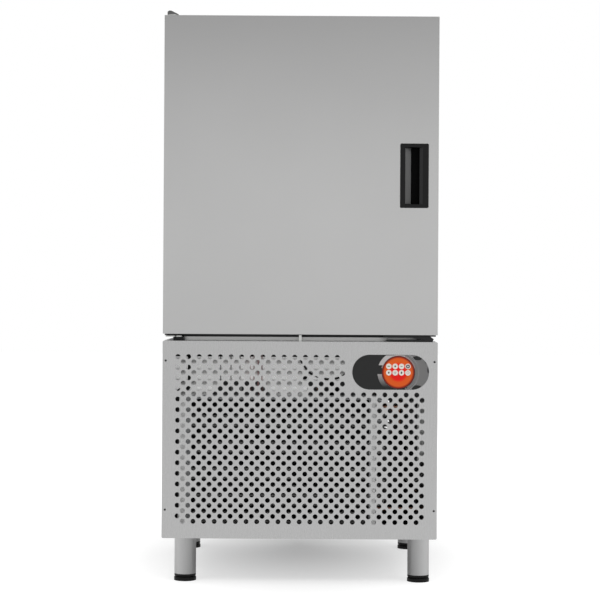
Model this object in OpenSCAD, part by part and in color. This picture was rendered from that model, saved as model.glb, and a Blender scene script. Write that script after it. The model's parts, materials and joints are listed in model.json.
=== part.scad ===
// Upright blast chiller. A foamed cabinet with one hinged door stands on a plinth over a
// machine compartment, whose perforated front panel carries the control. Four round legs
// with levelling feet carry the whole. Millimetres, +Z up, the front faces -Y, and the
// origin is on the floor under the middle of the overall box.

/* [Cabinet] */
// Width over the cabinet, the door and the lower panel
body_w = 790; // [776:1:860]
// Depth from the control's face to the back of the cabinet
body_d = 820; // [812:1:900]
// Thickness of the steel sheets
sheet_t = 1.2; // [0.8:0.1:2]
// Thickness of the foamed walls, sheets included
wall_t = 60; // [54:1:62]
// Depth of the plastic frame round the chamber's mouth
frame_t = 20; // [12:1:30]
// Corner radius of the chamber
liner_r = 20; // [6:1:30]
// Height of the open joint between the lower panel and the door
joint_h = 20; // [17:1:26]
// Height of the plinth that carries the foamed cabinet
plinth_h = 14; // [10:1:15]
// How far the plinth stands in from the cabinet's sides
plinth_in = 28; // [20:1:40]
// Width of the plinth's bars
plinth_bar = 30; // [20:1:36]

/* [Machine compartment] */
// Height of the lower body
lower_h = 567; // [555:1:640]
// Depth by which the rear grille stands in from the cabinet's back
rear_in = 25; // [24:1:45]
// Height of the base tray's rim
tray_rim = 30; // [15:1:40]
// Leg of the angle that the corner posts are bent from
post_w = 30; // [20:1:36]
// Height of the top rails of the machine frame
rail_h = 25; // [20:1:40]
// Width of the top rails of the machine frame
rail_w = 64; // [60:1:76]
// Thickness of the frame's steel and of brackets
plate_t = 3; // [2:0.5:3]

/* [Lower panel] */
// Depth of the panel's folded sides
panel_d = 72; // [60:1:72]
// Depth of the fold along the panel's foot
panel_fold = 22; // [15:1:30]
// Corner radius of the panel's face
panel_r = 4; // [2:0.5:8]
// Diameter of the perforation's holes
hole_d = 14; // [8:0.5:15]
// Half the distance between two holes of a row, and the step from row to row
hole_step = 15.25; // [15:0.05:17]
// Number of hole rows
hole_rows = 32; // [20:1:33]
// How far the hole field sits above the panel's middle
hole_up = 1.8; // [0:0.1:4]
// Number of holes in a full row
hole_cols = 24; // [15:1:24]
// Number of rows that stop short beside the control
short_rows = 7; // [7:1:9]
// Number of holes that a short row keeps
short_cols = 16; // [8:1:16]
// Distance of the panel screws from the panel's sides
screw_in = 9; // [8:0.5:14]
// Distance of the upper screws below the panel's top
screw_top = 57; // [50:1:80]
// Distance of the lower screws above the panel's underside
screw_bottom = 82; // [60:1:100]
// Head diameter of the panel screws
screw_d = 6; // [4:0.5:7]

/* [Control] */
// Width of the control's fascia, which has round ends
pill_w = 220; // [210:1:230]
// Height of the fascia
pill_h = 100; // [98:1:106]
// Centre of the fascia, left of the panel's right side
pill_in = 135; // [127:1:143]
// Centre of the fascia below the panel's top
pill_drop = 87; // [80:1:92]
// How far the silver ring stands in front of the lower panel
control_proud = 4; // [3.4:0.1:5]
// Thickness of the fascia
fascia_t = 2.4; // [1.6:0.1:2.8]
// Diameter of the round key field
disc_d = 94; // [90:1:95]
// Centre of the key field, right of the fascia's centre
disc_dx = 22; // [14:1:26]
// Width of the silver ring round the key field
ring_w = 12; // [4:0.5:13]
// Diameter of a key
key_d = 16; // [12:0.5:16]
// Distance between the keys' centres
key_pitch = 18.3; // [17.5:0.1:19]
// How far the key block sits above the key field's centre
key_rise = 8; // [0:0.5:9]
// How far a key can be pressed
key_travel = 0.6; // [0.4:0.1:0.8]

/* [Door] */
// Height of the door
door_h = 915; // [900:1:1000]
// Thickness of the door
door_t = 60; // [56:1:64]
// Gap between the shut door and the cabinet, which the gasket fills
seal_gap = 12; // [10:0.5:14]
// Width of the door gasket
seal_w = 22; // [16:1:23]
// Distance of the gasket from the door's edges
seal_in = 24; // [24:1:30]
// Free height above and below the door, at its hinges
door_play = 2; // [1.6:0.1:3]
// Distance of the hinge axis from the door's left edge
hinge_in = 22; // [20:1:26]
// Distance of the hinge axis behind the door's face
hinge_back = 30; // [28:1:32]
// Diameter of the hinge pins
pin_d = 10; // [8:0.5:12]
// Height of the cap on the upper hinge
cap_h = 14; // [10:1:20]

/* [Handle] */
// Width of the handle's frame
handle_w = 82; // [70:1:90]
// Height of the handle's frame
handle_h = 185; // [160:1:220]
// Distance of the handle from the door's right edge
handle_in = 29; // [24:1:40]
// Depth of the handle's tub behind the door's face
handle_d = 40; // [34:1:44]
// Width of the finger opening
grip_w = 42; // [36:1:46]
// Height of the finger opening
grip_h = 164; // [140:1:166]

/* [Tray racks] */
// Width of the trays that the racks take
tray_w = 600; // [590:1:604]
// Length of the runners, front to back
runner_l = 400; // [380:1:402]
// Number of tray levels
levels = 10; // [6:1:12]
// Height from one level to the next
level_h = 70; // [58:1:70]
// Height of the first level above the chamber's floor
first_level = 62; // [45:1:70]

/* [Fans] */
// Diameter of the chamber's fans
evap_fan_d = 220; // [180:2:230]
// Distance between the axes of the chamber's fans
evap_fan_gap = 340; // [290:2:360]
// Diameter of the condenser's fan
cond_fan_d = 300; // [240:2:310]
// Running gap between fan and ring
fan_gap = 5; // [3:0.5:8]
// Number of blades of a fan
fan_blades = 5; // [3:1:7]
// Diameter of a fan motor's shaft
shaft_d = 8; // [6:0.5:10]

/* [Legs] */
// Height from the floor to the lower body with the feet screwed in
leg_h = 132; // [120:1:180]
// Diameter of the leg tubes
leg_d = 63; // [50:1:70]
// Wall of the leg tubes
leg_wall = 2; // [1.5:0.5:3]
// Distance of the left legs' axes from the left side
leg_left = 63; // [46:1:80]
// Distance of the right legs' axes from the right side
leg_right = 47; // [46:1:80]
// Distance of the front legs' axes behind the panel's face
leg_front = 83; // [70:1:110]
// Distance of the rear legs' axes from the rear grille
leg_rear = 60; // [50:1:100]
// Distance of the rear legs' axes from the sides
leg_rear_in = 37; // [36:1:80]
// Height of the black foot and collar together
foot_h = 20; // [16:1:30]
// Diameter of the foot's threaded stem
stem_d = 16; // [12:1:20]
// How far a foot can be screwed out
foot_travel = 30; // [20:1:40]

/* [Hidden] */
$fn = 48;
// Clearances: round parts that turn in each other, and pieces that just clear each other
fit = 0.05;
clear = 0.3;

// Main planes of the machine, from the sizes above
hx = body_w / 2;
y_face = -body_d / 2 + control_proud;
y_door = y_face + door_t;
y_cab = y_door + seal_gap;
y_back = body_d / 2;
y_rear = y_back - rear_in;
z_joint = leg_h + lower_h;
z_cab = z_joint + plinth_h;
z_door = z_joint + joint_h;
z_lid = z_door + door_h;
z_top = z_lid + door_play;
z_floor = leg_h + plate_t;
z_mid = leg_h + lower_h / 2;
z_holes = z_mid + hole_up;

// Chamber
ch_hx = hx - wall_t;
ch_z0 = z_cab + wall_t;
ch_z1 = z_top - wall_t;
ch_back = y_back - wall_t;
ch_mid = (ch_z0 + ch_z1) / 2;
foam_y0 = y_cab + frame_t;

// Evaporator and fan panel, placed from the chamber's back wall
coil_gap = 15;
coil_d = 130;
coil_side = 85;
coil_hx = ch_hx - coil_side;
coil_foot = 66;
coil_y1 = ch_back - coil_gap;
coil_y0 = coil_y1 - coil_d;
fan_space = 100;
fan_y = coil_y0 - fan_space;
panel_side = 35;
fan_panel_hx = ch_hx - panel_side;
fin_pitch = 8;
fin_t = 1;
tube_d = 10;
tube_pitch = 38;

// Condenser, placed behind the perforated panel
cond_left = 79;
cond_right = 192;
cond_drop = 172;
cond_x0 = -hx + cond_left;
cond_x1 = hx - cond_right;
cond_y0 = y_cab + 8;
cond_d = 60;
cond_z1 = z_joint - cond_drop;
cond_lid = 13;
lid_right = 34;
cond_mid_x = (cond_x0 + cond_x1) / 2;
cond_y1 = cond_y0 + cond_d;
cond_mid_z = (z_floor + cond_z1) / 2;
flange_left = 30;
flange_right = 20;
shroud_d = 50;
shroud_y = cond_y1 + shroud_d;
motor_r = 35;
motor_l = 44;
motor_boss = 6;
strap_y = 32;
strap_w = 28;
strap_foot = 14;
hub_front = 14;
hub_back = 18;
blade_t = 2;
blade_pitch = 24;
cond_hub_r = 40;
cond_chord = 80;
evap_hub_r = 32;
evap_chord = 62;

// Baffle above the condenser
baffle_drop = 117;
baffle_right = 180;
bead_d = 8;
tab_w = 106;
tab_x = -85;
tab_flare = 38;
fold_d = 40;

// Compressor, receiver and drier
comp_in = 133;
comp_behind = 190;
comp = [hx - comp_in, shroud_y + comp_behind];
comp_r = 92;
comp_h = 250;
comp_foot = 22;
comp_z = z_floor + comp_foot;
suction_rise = 130;
discharge_rise = 100;
receiver_in = 95;
receiver_behind = 200;
receiver = [hx - receiver_in, comp[1] + receiver_behind];
receiver_r = 42;
receiver_h = 190;
receiver_foot = 12;
receiver_top = z_floor + receiver_foot + receiver_h;
outlet_rise = 72;
drier_rise = 150;
drier_z = receiver_top + drier_rise;
drier_in = 285;
drier_x0 = hx - drier_in;
drier_l = 110;
drier_r = 22;
drier_neck = 10;
drier_cone = 26;
stub_l = 14;

// Control, in front of the panel's face
pill = [hx - pill_in, z_joint - pill_drop];
disc = [pill[0] + disc_dx, pill[1]];
disc_proud = 3;
disc_boss_r = disc_d / 2 - 3;
key_proud = 0.8;
key_l = 9;
house_d = 34;
house_w = 150;
house_h = 92;
y_house = y_face + sheet_t;

// Electrical box
box_w = 150;
box_l = 180;
box_h = 240;
box_lid = 24;
box_r = 8;
box_gap = 10;
box_behind = 120;

// Mains inlet in the rear grille
gland_x = -hx + 95;
gland_z = leg_h + 50;
gland_r = 12.5;

// Hinges
axis_x = -hx + hinge_in;
axis_y = y_face + hinge_back;
bush_r = pin_d / 2 + 5;
bush_flange = 14;
bush_l = 28;
pin_l = 22;
plate_w = 46;
plate_reach = 16;

// Handle
handle_x = hx - handle_in - handle_w / 2;
handle_z = z_door + door_h / 2;
handle_lip = 2;
handle_rim = 5;
handle_r = 4;
grip_in = 14;
grip_slope = 18;
lip_bevel = 9;

// Racks
upright_w = 20;
upright_d = 14;
stud_l = 5;
ledge_lap = 8;
runner_leg = 18;
runner_y0 = y_cab + 8;
rack_x = ch_hx - stud_l - upright_d;
rack_h = first_level + (levels - 1) * level_h + 20;

leg_spots = [
  [-hx + leg_left, y_face + leg_front], [hx - leg_right, y_face + leg_front],
  [-hx + leg_rear_in, y_rear - leg_rear], [hx - leg_rear_in, y_rear - leg_rear]
];
leg_flange = 4;
leg_flange_t = 3;
thread_l = 32;
socket_l = thread_l + foot_travel + 8;
collar_h = foot_h * 0.3;
pipe_r = 5;
suction_r = 8;
pipe_bend = 28;
pass_y = coil_y1 - 35;
side_pipe_x = hx - sheet_t - 18;
outlet_l = side_pipe_x - pipe_bend - receiver[0] - receiver_r - 1;
liquid_in = 335;
suction_in = 283;
liquid_x = hx - liquid_in;
suction_x = hx - suction_in;

steel = [0.78, 0.78, 0.77];
zinc = [0.66, 0.67, 0.68];
black = [0.06, 0.06, 0.06];
copper = [0.72, 0.43, 0.29];
foam_c = [0.93, 0.86, 0.62];
rubber_c = [0.12, 0.12, 0.12];

// ---------------------------------------------------------------- helpers

// Rectangle with round corners, centred
module rounded(w, h, r) {
  square([w - 2 * r, h], center = true);
  square([w, h - 2 * r], center = true);
  for (sx = [-1, 1], sy = [-1, 1])
    translate([sx * (w / 2 - r), sy * (h / 2 - r)]) circle(r);
}

// Bar with half-round ends along its width, centred
module stadium(w, h) {
  square([w - h, h], center = true);
  for (s = [-1, 1]) translate([s * (w - h) / 2, 0]) circle(h / 2);
}

// Stands an outline up: its x stays, its y becomes z, and it is t deep from y = 0 backwards
module upright(t) {
  translate([0, t, 0]) rotate([90, 0, 0]) linear_extrude(t) children();
}

// Block between two corners
module block(a, b) {
  translate(a) cube(b - a);
}

// Cylinder along Y, from y0 to y1
module rod_y(r, y0, y1) {
  translate([0, y0, 0]) rotate([-90, 0, 0]) cylinder(r = r, h = y1 - y0);
}

// Cylinder along X, from x0 to x1
module rod_x(r, x0, x1) {
  translate([x0, 0, 0]) rotate([0, 90, 0]) cylinder(r = r, h = x1 - x0);
}

// Points of an axis-parallel pipe route with every corner rounded to a quarter bend
function unit(v) = v / norm(v);
function bend(a, b, c, r, n = 6) =
  let (u = unit(b - a), w = unit(c - b), m = b - u * r + w * r)
  [for (i = [0:n]) let (t = 90 * i / n) m - w * r * cos(t) + u * r * sin(t)];
function route(p, r) = concat(
  [p[0]],
  [for (i = [1:len(p) - 2]) each bend(p[i - 1], p[i], p[i + 1], r)],
  [p[len(p) - 1]]
);
function heading(p, i) = unit(p[min(i + 1, len(p) - 1)] - p[max(i - 1, 0)]);
function carried(n, t) = unit(n - t * (n * t));
function normals(p, i, n) =
  i == len(p) ? [] :
  let (m = carried(n, heading(p, i))) concat([m], normals(p, i + 1, m));

// Pipe of radius r along a route, swept as rings of flat sides
module pipe(route_points, r, sides = 10) {
  p = route(route_points, pipe_bend);
  t0 = heading(p, 0);
  start = abs(t0[2]) > 0.9 ? [1, 0, 0] : [0, 0, 1];
  n = normals(p, 0, start);
  rings = [for (i = [0:len(p) - 1], k = [0:sides - 1])
    let (a = 360 * k / sides, b = cross(heading(p, i), n[i]))
    p[i] + r * (cos(a) * n[i] + sin(a) * b)];
  walls = [for (i = [0:len(p) - 2], k = [0:sides - 1])
    let (k2 = (k + 1) % sides)
    [i * sides + k2, i * sides + k, (i + 1) * sides + k, (i + 1) * sides + k2]];
  last = (len(p) - 1) * sides;
  polyhedron(
    points = rings,
    faces = concat([[for (k = [0:sides - 1]) k]], walls,
                   [[for (k = [sides - 1:-1:0]) last + k]]),
    convexity = 10
  );
}

// Axial fan about Y: a hub bored for the shaft, and pitched blades with round tips
module axial_fan(d, hub_r, chord) {
  difference() {
    union() {
      rod_y(hub_r, -hub_front, hub_back);
      for (k = [0:fan_blades - 1])
        rotate([0, 360 * k / fan_blades, 0]) rotate([0, 0, blade_pitch])
          upright(blade_t) intersection() {
            circle(d / 2);
            translate([-chord / 2, hub_r - 4]) square([chord, d]);
          }
    }
    rod_y(shaft_d / 2 + fit, -hub_front - 1, hub_back + 1);
  }
}

// Motor about Y, on a strap that bridges its ring: y = 0 is the panel's rear face
module fan_motor(ring_r) {
  x = ring_r + strap_foot;
  h = strap_w / 2;
  back = strap_y + plate_t + motor_l;
  for (s = [-1, 1]) {
    block([s * x - strap_foot / 2, 0, -h], [s * x + strap_foot / 2, plate_t, h]);
    block([s * x - plate_t / 2, plate_t, -h], [s * x + plate_t / 2, strap_y, h]);
  }
  block([-x - plate_t / 2, strap_y, -h], [x + plate_t / 2, strap_y + plate_t, h]);
  rod_y(motor_r, strap_y + plate_t, back);
  rod_y(motor_r * 0.6, back, back + motor_boss);
  rod_y(shaft_d / 2, -hub_front - 2, strap_y + 1);
}

// Core of a finned coil: fins stand up across the width, on both faces of the tube bank
module fin_core(x0, x1, d, h) {
  n = floor((x1 - x0 - fin_t) / fin_pitch);
  linear_extrude(h) {
    polygon([[x0, d * 0.2], [x1, d * 0.2], [x1, d * 0.8], [x0, d * 0.8]]);
    for (i = [0:n])
      translate([x0 + i * fin_pitch, 0]) square([fin_t, d]);
  }
}

// Return bends of a coil, one over the other, on the side where s points
module return_bends(s, x, y, z0, z1) {
  n = floor((z1 - z0) / tube_pitch / 2);
  first = (z0 + z1) / 2 - (n - 1) * tube_pitch;
  for (i = [0:n - 1])
    translate([x, y, first + i * 2 * tube_pitch])
      rotate([90, 0, 0])
        rotate([0, 0, s > 0 ? -90 : 90])
          rotate_extrude(angle = 180)
            translate([tube_pitch / 2, 0]) circle(tube_d / 2);
}

// ---------------------------------------------------------------- cabinet

// Outline of the chamber with its round corners, grown by g
module chamber_outline(g) {
  translate([0, ch_mid])
    rounded(2 * (ch_hx + g), ch_z1 - ch_z0 + 2 * g, liner_r + g);
}

// The two holes where the refrigerant pipes pass the cabinet's floor
module pipe_holes() {
  for (p = [[liquid_x, pipe_r], [suction_x, suction_r]])
    translate([p[0], pass_y, z_cab - 1]) cylinder(r = p[1] + 2, h = wall_t + 2);
}

module cabinet_foam() {
  color(foam_c) difference() {
    block([-hx + sheet_t, foam_y0, z_cab + sheet_t],
          [hx - sheet_t, y_back - sheet_t, z_top - sheet_t]);
    translate([0, foam_y0 - 1, 0])
      upright(ch_back + sheet_t - foam_y0 + 1) chamber_outline(sheet_t);
    pipe_holes();
  }
}

module cabinet_outer_shell() {
  color(steel) difference() {
    block([-hx, foam_y0, z_cab], [hx, y_back - sheet_t, z_top]);
    block([-hx + sheet_t, foam_y0 - 1, z_cab + sheet_t],
          [hx - sheet_t, y_back, z_top - sheet_t]);
    pipe_holes();
  }
}

module cabinet_back_panel() {
  color(zinc) block([-hx, y_back - sheet_t, z_cab], [hx, y_back, z_top]);
}

module chamber_liner() {
  color(steel) difference() {
    translate([0, foam_y0, 0])
      upright(ch_back + sheet_t - foam_y0) chamber_outline(sheet_t);
    translate([0, foam_y0 - 1, 0]) upright(ch_back - foam_y0 + 1) chamber_outline(0);
    pipe_holes();
  }
}

// Four mitred bars round the chamber's mouth, with a groove for the heater wire
module front_frame() {
  mid = (z_cab + z_top) / 2;
  h = (z_top - z_cab) / 2;
  groove = 3;
  groove_in = 52;
  for (s = [-1, 1]) {
    color(black) difference() {
      translate([0, y_cab, 0]) upright(frame_t) polygon([
        [s * hx, mid - h], [s * hx, mid + h],
        [s * ch_hx, mid + h - wall_t], [s * ch_hx, mid - h + wall_t]
      ]);
      translate([s * (hx - groove_in), y_cab, mid])
        cube([groove, groove, 2 * h - 2 * groove_in + groove], center = true);
    }
    color(black) difference() {
      translate([0, y_cab, 0]) upright(frame_t) polygon([
        [-hx, mid + s * h], [hx, mid + s * h],
        [ch_hx, mid + s * (h - wall_t)], [-ch_hx, mid + s * (h - wall_t)]
      ]);
      translate([0, y_cab, mid + s * (h - groove_in)])
        cube([body_w - 2 * groove_in + groove, groove, groove], center = true);
    }
  }
}

// Four bars between the machine frame and the cabinet
module plinth_frame() {
  x = hx - plinth_in;
  y0 = y_cab + plinth_bar / 3;
  y1 = y_rear - plinth_in;
  color(steel) {
    block([-x, y0, z_joint], [x, y0 + plinth_bar, z_cab]);
    block([-x, y1 - plinth_bar, z_joint], [x, y1, z_cab]);
    for (s = [-1, 1])
      block([min(s * x, s * (x - plinth_bar)), y0 + plinth_bar, z_joint],
            [max(s * x, s * (x - plinth_bar)), y1 - plinth_bar, z_cab]);
  }
}

// ---------------------------------------------------------------- lower body

// Corner posts of steel angle under a ring of flat top rails
module machine_frame() {
  x = hx - sheet_t;
  y0 = y_cab;
  y1 = y_rear - sheet_t;
  z_rail = z_joint - rail_h;
  for (sx = [-1, 1], sy = [0, 1])
    color(zinc)
      translate([sx * (x - sheet_t), sy == 0 ? y0 : y1 - sheet_t, z_floor])
        scale([-sx, sy == 0 ? 1 : -1, 1])
          linear_extrude(z_rail - z_floor) {
            square([post_w, plate_t]);
            square([plate_t, post_w]);
          }
  color(zinc) {
    block([-x, y0, z_rail], [x, y0 + rail_w, z_joint]);
    block([-x, y1 - rail_w, z_rail], [x, y1, z_joint]);
    for (s = [-1, 1])
      block([min(s * x, s * (x - rail_w)), y0 + rail_w, z_rail],
            [max(s * x, s * (x - rail_w)), y1 - rail_w, z_joint]);
  }
}

// Side panel: a flat sheet between the tray's rim and the top rails
module side_panel(s) {
  color(steel)
    block([min(s * hx, s * (hx - sheet_t)), y_cab, leg_h],
          [max(s * hx, s * (hx - sheet_t)), y_rear - sheet_t, z_joint]);
}

// Rear grille with two banks of round-ended slots
module rear_grille() {
  slot_w = 130;
  slot_h = 8;
  slot_step = 22;
  slot_first = 84;
  banks = 4;
  rows = 13;
  color(zinc) translate([0, y_rear - sheet_t, 0]) upright(sheet_t) difference() {
    translate([-hx, leg_h]) square([body_w, lower_h]);
    for (i = [0:banks - 1], j = [0:rows - 1])
      translate([(i - (banks - 1) / 2) * slot_w * 1.2,
                 leg_h + slot_first + j * slot_step]) stadium(slot_w, slot_h);
    translate([gland_x, gland_z]) circle(gland_r);
  }
}

// Base tray: a folded pan that carries the condensing unit
module base_tray() {
  x = hx - sheet_t;
  y0 = y_face + panel_fold + panel_r;
  y1 = y_rear - sheet_t;
  color(zinc) difference() {
    block([-x, y0, leg_h], [x, y1, leg_h + tray_rim]);
    block([-x + sheet_t, y0 + sheet_t, z_floor], [x - sheet_t, y1 - sheet_t, z_joint]);
  }
}

// Perforated panel: face with staggered holes, folded back on four sides
module grille_panel() {
  z_row = (hole_rows - 1) / 2;
  color(steel) {
    translate([0, y_face, 0]) upright(sheet_t) difference() {
      translate([0, z_mid]) rounded(body_w, lower_h, panel_r);
      for (j = [0:hole_rows - 1]) {
        n = hole_cols - j % 2;
        for (i = [0:n - 1])
          if (j >= short_rows || i < short_cols)
            translate([(2 * i - (n - 1)) * hole_step, z_holes + (z_row - j) * hole_step])
              circle(d = hole_d, $fn = 24);
      }
      translate(disc) circle(disc_boss_r + clear);
    }
    difference() {
      translate([0, y_face + sheet_t, 0]) upright(panel_d - sheet_t) difference() {
        translate([0, z_mid]) rounded(body_w, lower_h, panel_r);
        translate([0, z_mid])
          rounded(body_w - 2 * sheet_t, lower_h - 2 * sheet_t, panel_r - sheet_t);
      }
      block([-hx - 1, y_face + panel_fold, leg_h - 1],
            [hx + 1, y_face + panel_d + 1, leg_h + panel_r + 2]);
    }
  }
}

module grille_screws() {
  head_t = 1.6;
  for (s = [-1, 1], z = [z_joint - screw_top, leg_h + screw_bottom])
    color(black) translate([s * (hx - screw_in), y_face, z]) {
      difference() {
        rod_y(screw_d / 2, -head_t, 0);
        rod_y(screw_d / 5, -head_t - 1, -head_t / 2);
      }
    }
}

// ---------------------------------------------------------------- control

module control_fascia() {
  color(black) translate([0, y_face - fascia_t, 0]) upright(fascia_t) difference() {
    translate(pill) stadium(pill_w, pill_h);
    translate(disc) circle(disc_d / 2 + clear);
  }
}

// Silver arcs left and right of the key field, cut off by the fascia's outline
module control_ring() {
  inner = disc_d / 2 + 1;
  break_h = 25.5;
  break_up = 7.5;
  color("silver") translate([0, y_face - control_proud, 0])
    upright(control_proud - fascia_t) difference() {
      intersection() {
        translate(disc) circle(inner + ring_w);
        translate(pill) stadium(pill_w - 3, pill_h - 3);
      }
      translate(disc) circle(inner);
      translate(disc) translate([-disc_d, break_up - break_h / 2]) square([disc_d, break_h]);
      translate(disc) translate([disc_d * 0.2, -pill_h]) square([disc_d, 2 * pill_h]);
    }
}

function key_spot(k) = [
  disc[0] + ((k - 1) % 4 - 1.5) * key_pitch,
  disc[1] + key_rise + (0.5 - floor((k - 1) / 4)) * key_pitch
];

module control_disc() {
  color([0.85, 0.2, 0.12]) difference() {
    union() {
      translate([disc[0], 0, disc[1]]) rod_y(disc_d / 2, y_face - disc_proud, y_face);
      translate([disc[0], 0, disc[1]]) rod_y(disc_boss_r, y_face, y_house);
    }
    for (k = [1:8])
      translate([key_spot(k)[0], 0, key_spot(k)[1]])
        rod_y(key_d / 2 + fit, y_face - disc_proud - 1, y_house + 1);
  }
}

module control_housing() {
  wells = key_l - disc_proud - key_proud - sheet_t + key_travel;
  color(black) difference() {
    union() {
      translate([disc[0], y_house, disc[1]])
        upright(2) rounded(house_w, house_h + 6, 6);
      translate([disc[0], y_house + 2, disc[1]])
        upright(house_d - 2) rounded(house_w - 12, house_h - 6, 8);
    }
    for (k = [1:8])
      translate([key_spot(k)[0], 0, key_spot(k)[1]])
        rod_y(key_d / 2 + fit, y_house - 1, y_house + wells);
  }
}

// Key: a round plunger with a dished face
module control_key(k) {
  y0 = y_face - disc_proud - key_proud;
  dish = 40;
  color([0.93, 0.93, 0.93]) translate([key_spot(k)[0], 0, key_spot(k)[1]]) difference() {
    rod_y(key_d / 2, y0, y0 + key_l);
    translate([0, y0 - dish + 0.5, 0]) sphere(dish, $fn = 96);
  }
}

// ---------------------------------------------------------------- condensing unit

module condenser_coil() {
  color([0.2, 0.2, 0.2])
    translate([0, cond_y0, z_floor])
      fin_core(cond_x0, cond_x1, cond_d, cond_z1 - z_floor);
  for (row = [0.35, 0.65])
    color(copper) {
      return_bends(-1, cond_x0 - plate_t, cond_y0 + cond_d * row, z_floor, cond_z1);
      return_bends(1, cond_x1 + plate_t, cond_y0 + cond_d * row, z_floor, cond_z1);
    }
}

// Sheet casing round the condenser, with the fan's ring in its rear wall
module condenser_shroud() {
  ring_r = cond_fan_d / 2 + fan_gap;
  lip = 18;
  color(zinc) {
    // end plates with flanges turned outwards at the front
    block([cond_x0 - plate_t, cond_y0, z_floor], [cond_x0, shroud_y, cond_z1]);
    block([cond_x0 - flange_left, cond_y0, z_floor],
          [cond_x0 - plate_t, cond_y0 + sheet_t, cond_z1]);
    block([cond_x1, cond_y0, z_floor], [cond_x1 + plate_t, shroud_y, cond_z1]);
    block([cond_x1 + plate_t, cond_y0, z_floor],
          [cond_x1 + flange_right, cond_y0 + sheet_t, cond_z1]);
    // top channel
    block([cond_x0 - flange_left, cond_y0, cond_z1],
          [cond_x1 + lid_right, shroud_y, cond_z1 + sheet_t]);
    block([cond_x0 - flange_left, cond_y0, cond_z1 + sheet_t],
          [cond_x1 + lid_right, cond_y0 + sheet_t, cond_z1 + cond_lid]);
    // rear wall and ring
    translate([0, shroud_y, 0]) upright(sheet_t) difference() {
      translate([cond_x0 - plate_t, z_floor])
        square([cond_x1 - cond_x0 + 2 * plate_t, cond_z1 + sheet_t - z_floor]);
      translate([cond_mid_x, cond_mid_z]) circle(ring_r);
    }
    translate([cond_mid_x, shroud_y - lip, cond_mid_z]) upright(lip) difference() {
      circle(ring_r + sheet_t);
      circle(ring_r);
    }
  }
}

module condenser_fan_motor() {
  color(black) translate([cond_mid_x, shroud_y + sheet_t, cond_mid_z])
    fan_motor(cond_fan_d / 2 + fan_gap);
}

module condenser_fan() {
  color([0.25, 0.25, 0.27]) translate([cond_mid_x, shroud_y - 4, cond_mid_z])
    axial_fan(cond_fan_d, cond_hub_r, cond_chord);
}

// Hermetic compressor: a drawn pot with a welded girth, on a foot plate and rubber mounts
module compressor() {
  pot_r = 26;
  term_w = 64;
  term_d = 62;
  term_h = 76;
  translate([comp[0], comp[1], 0]) {
    color(black) translate([0, 0, comp_z]) {
      rotate_extrude() difference() {
        union() {
          translate([0, pot_r]) square([comp_r, comp_h - 2 * pot_r]);
          square([comp_r - pot_r, comp_h]);
          for (z = [pot_r, comp_h - pot_r]) translate([comp_r - pot_r, z]) circle(pot_r);
          translate([0, comp_h * 0.55]) square([comp_r + 3, 8]);
        }
        translate([-comp_r, -1]) square([comp_r, comp_h + 2]);
      }
      // terminal box, behind
      translate([-term_w / 2, comp_r - term_d / 2, comp_h * 0.2])
        cube([term_w, term_d, term_h]);
    }
    color(zinc) translate([0, 0, comp_z - plate_t])
      linear_extrude(plate_t) rounded(2 * comp_r - 6, 2 * comp_r - 6, 20);
    for (sx = [-1, 1], sy = [-1, 1])
      color(rubber_c) translate([sx * (comp_r - 22), sy * (comp_r - 22), z_floor])
        cylinder(r = 12, h = comp_foot - plate_t);
    // suction and discharge stubs
    color(copper) rotate([0, 0, 180])
      translate([0, 0, comp_z + suction_rise])
        rod_x(suction_r, comp_r - suction_r, comp_r + stub_l);
    color(copper) translate([comp_r / 2, 0, comp_z + comp_h - 12])
      cylinder(r = pipe_r, h = 12 + stub_l);
  }
}

// Liquid receiver on its foot, and the filter drier in the liquid line
module receiver_and_drier() {
  dome = 16;
  color([0.15, 0.2, 0.35]) translate([receiver[0], receiver[1], z_floor]) {
    cylinder(r = receiver_r * 0.7, h = receiver_foot);
    translate([0, 0, receiver_foot]) rotate_extrude() difference() {
      union() {
        translate([0, dome]) square([receiver_r, receiver_h - 2 * dome]);
        square([receiver_r - dome, receiver_h]);
        for (z = [dome, receiver_h - dome]) translate([receiver_r - dome, z]) circle(dome);
      }
      translate([-receiver_r, -1]) square([receiver_r, receiver_h + 2]);
    }
    translate([0, 0, receiver_top - z_floor - 1]) cylinder(r = pipe_r, h = stub_l + 1);
    translate([0, 0, outlet_rise]) rod_x(pipe_r, receiver_r - 6, receiver_r + outlet_l);
  }
  color(copper) translate([drier_x0, receiver[1], drier_z])
    rotate([0, 90, 0]) rotate_extrude() polygon([
      [0, 0], [pipe_r, 0], [pipe_r, drier_neck], [drier_r, drier_cone],
      [drier_r, drier_l - drier_cone], [pipe_r, drier_l - drier_neck],
      [pipe_r, drier_l], [0, drier_l]
    ]);
}

// Refrigerant pipes between compressor, condenser, receiver, drier and evaporator
module pipework() {
  cond_y = cond_y0 + cond_d / 2;
  low = z_floor + outlet_rise;
  high = comp_z + comp_h + discharge_rise;
  suction_z = comp_z + suction_rise;
  end_x = cond_x1 + plate_t;
  coil_z = ch_z0 + coil_foot;
  top_x = comp[0] + comp_r / 2;
  color(copper) {
    pipe([[top_x, comp[1], comp_z + comp_h + stub_l], [top_x, comp[1], high],
          [top_x, cond_y, high], [end_x, cond_y, high]], pipe_r);
    pipe([[end_x, cond_y, low], [side_pipe_x, cond_y, low], [side_pipe_x, receiver[1], low],
          [receiver[0] + receiver_r + outlet_l, receiver[1], low]], pipe_r);
    pipe([[receiver[0], receiver[1], receiver_top + stub_l],
          [receiver[0], receiver[1], drier_z],
          [drier_x0 + drier_l, receiver[1], drier_z]], pipe_r);
    pipe([[drier_x0, receiver[1], drier_z], [liquid_x, receiver[1], drier_z],
          [liquid_x, pass_y, drier_z], [liquid_x, pass_y, coil_z]], pipe_r);
    pipe([[suction_x, pass_y, coil_z], [suction_x, pass_y, suction_z],
          [suction_x, comp[1], suction_z],
          [comp[0] - comp_r - stub_l, comp[1], suction_z]], suction_r);
  }
}

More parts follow.
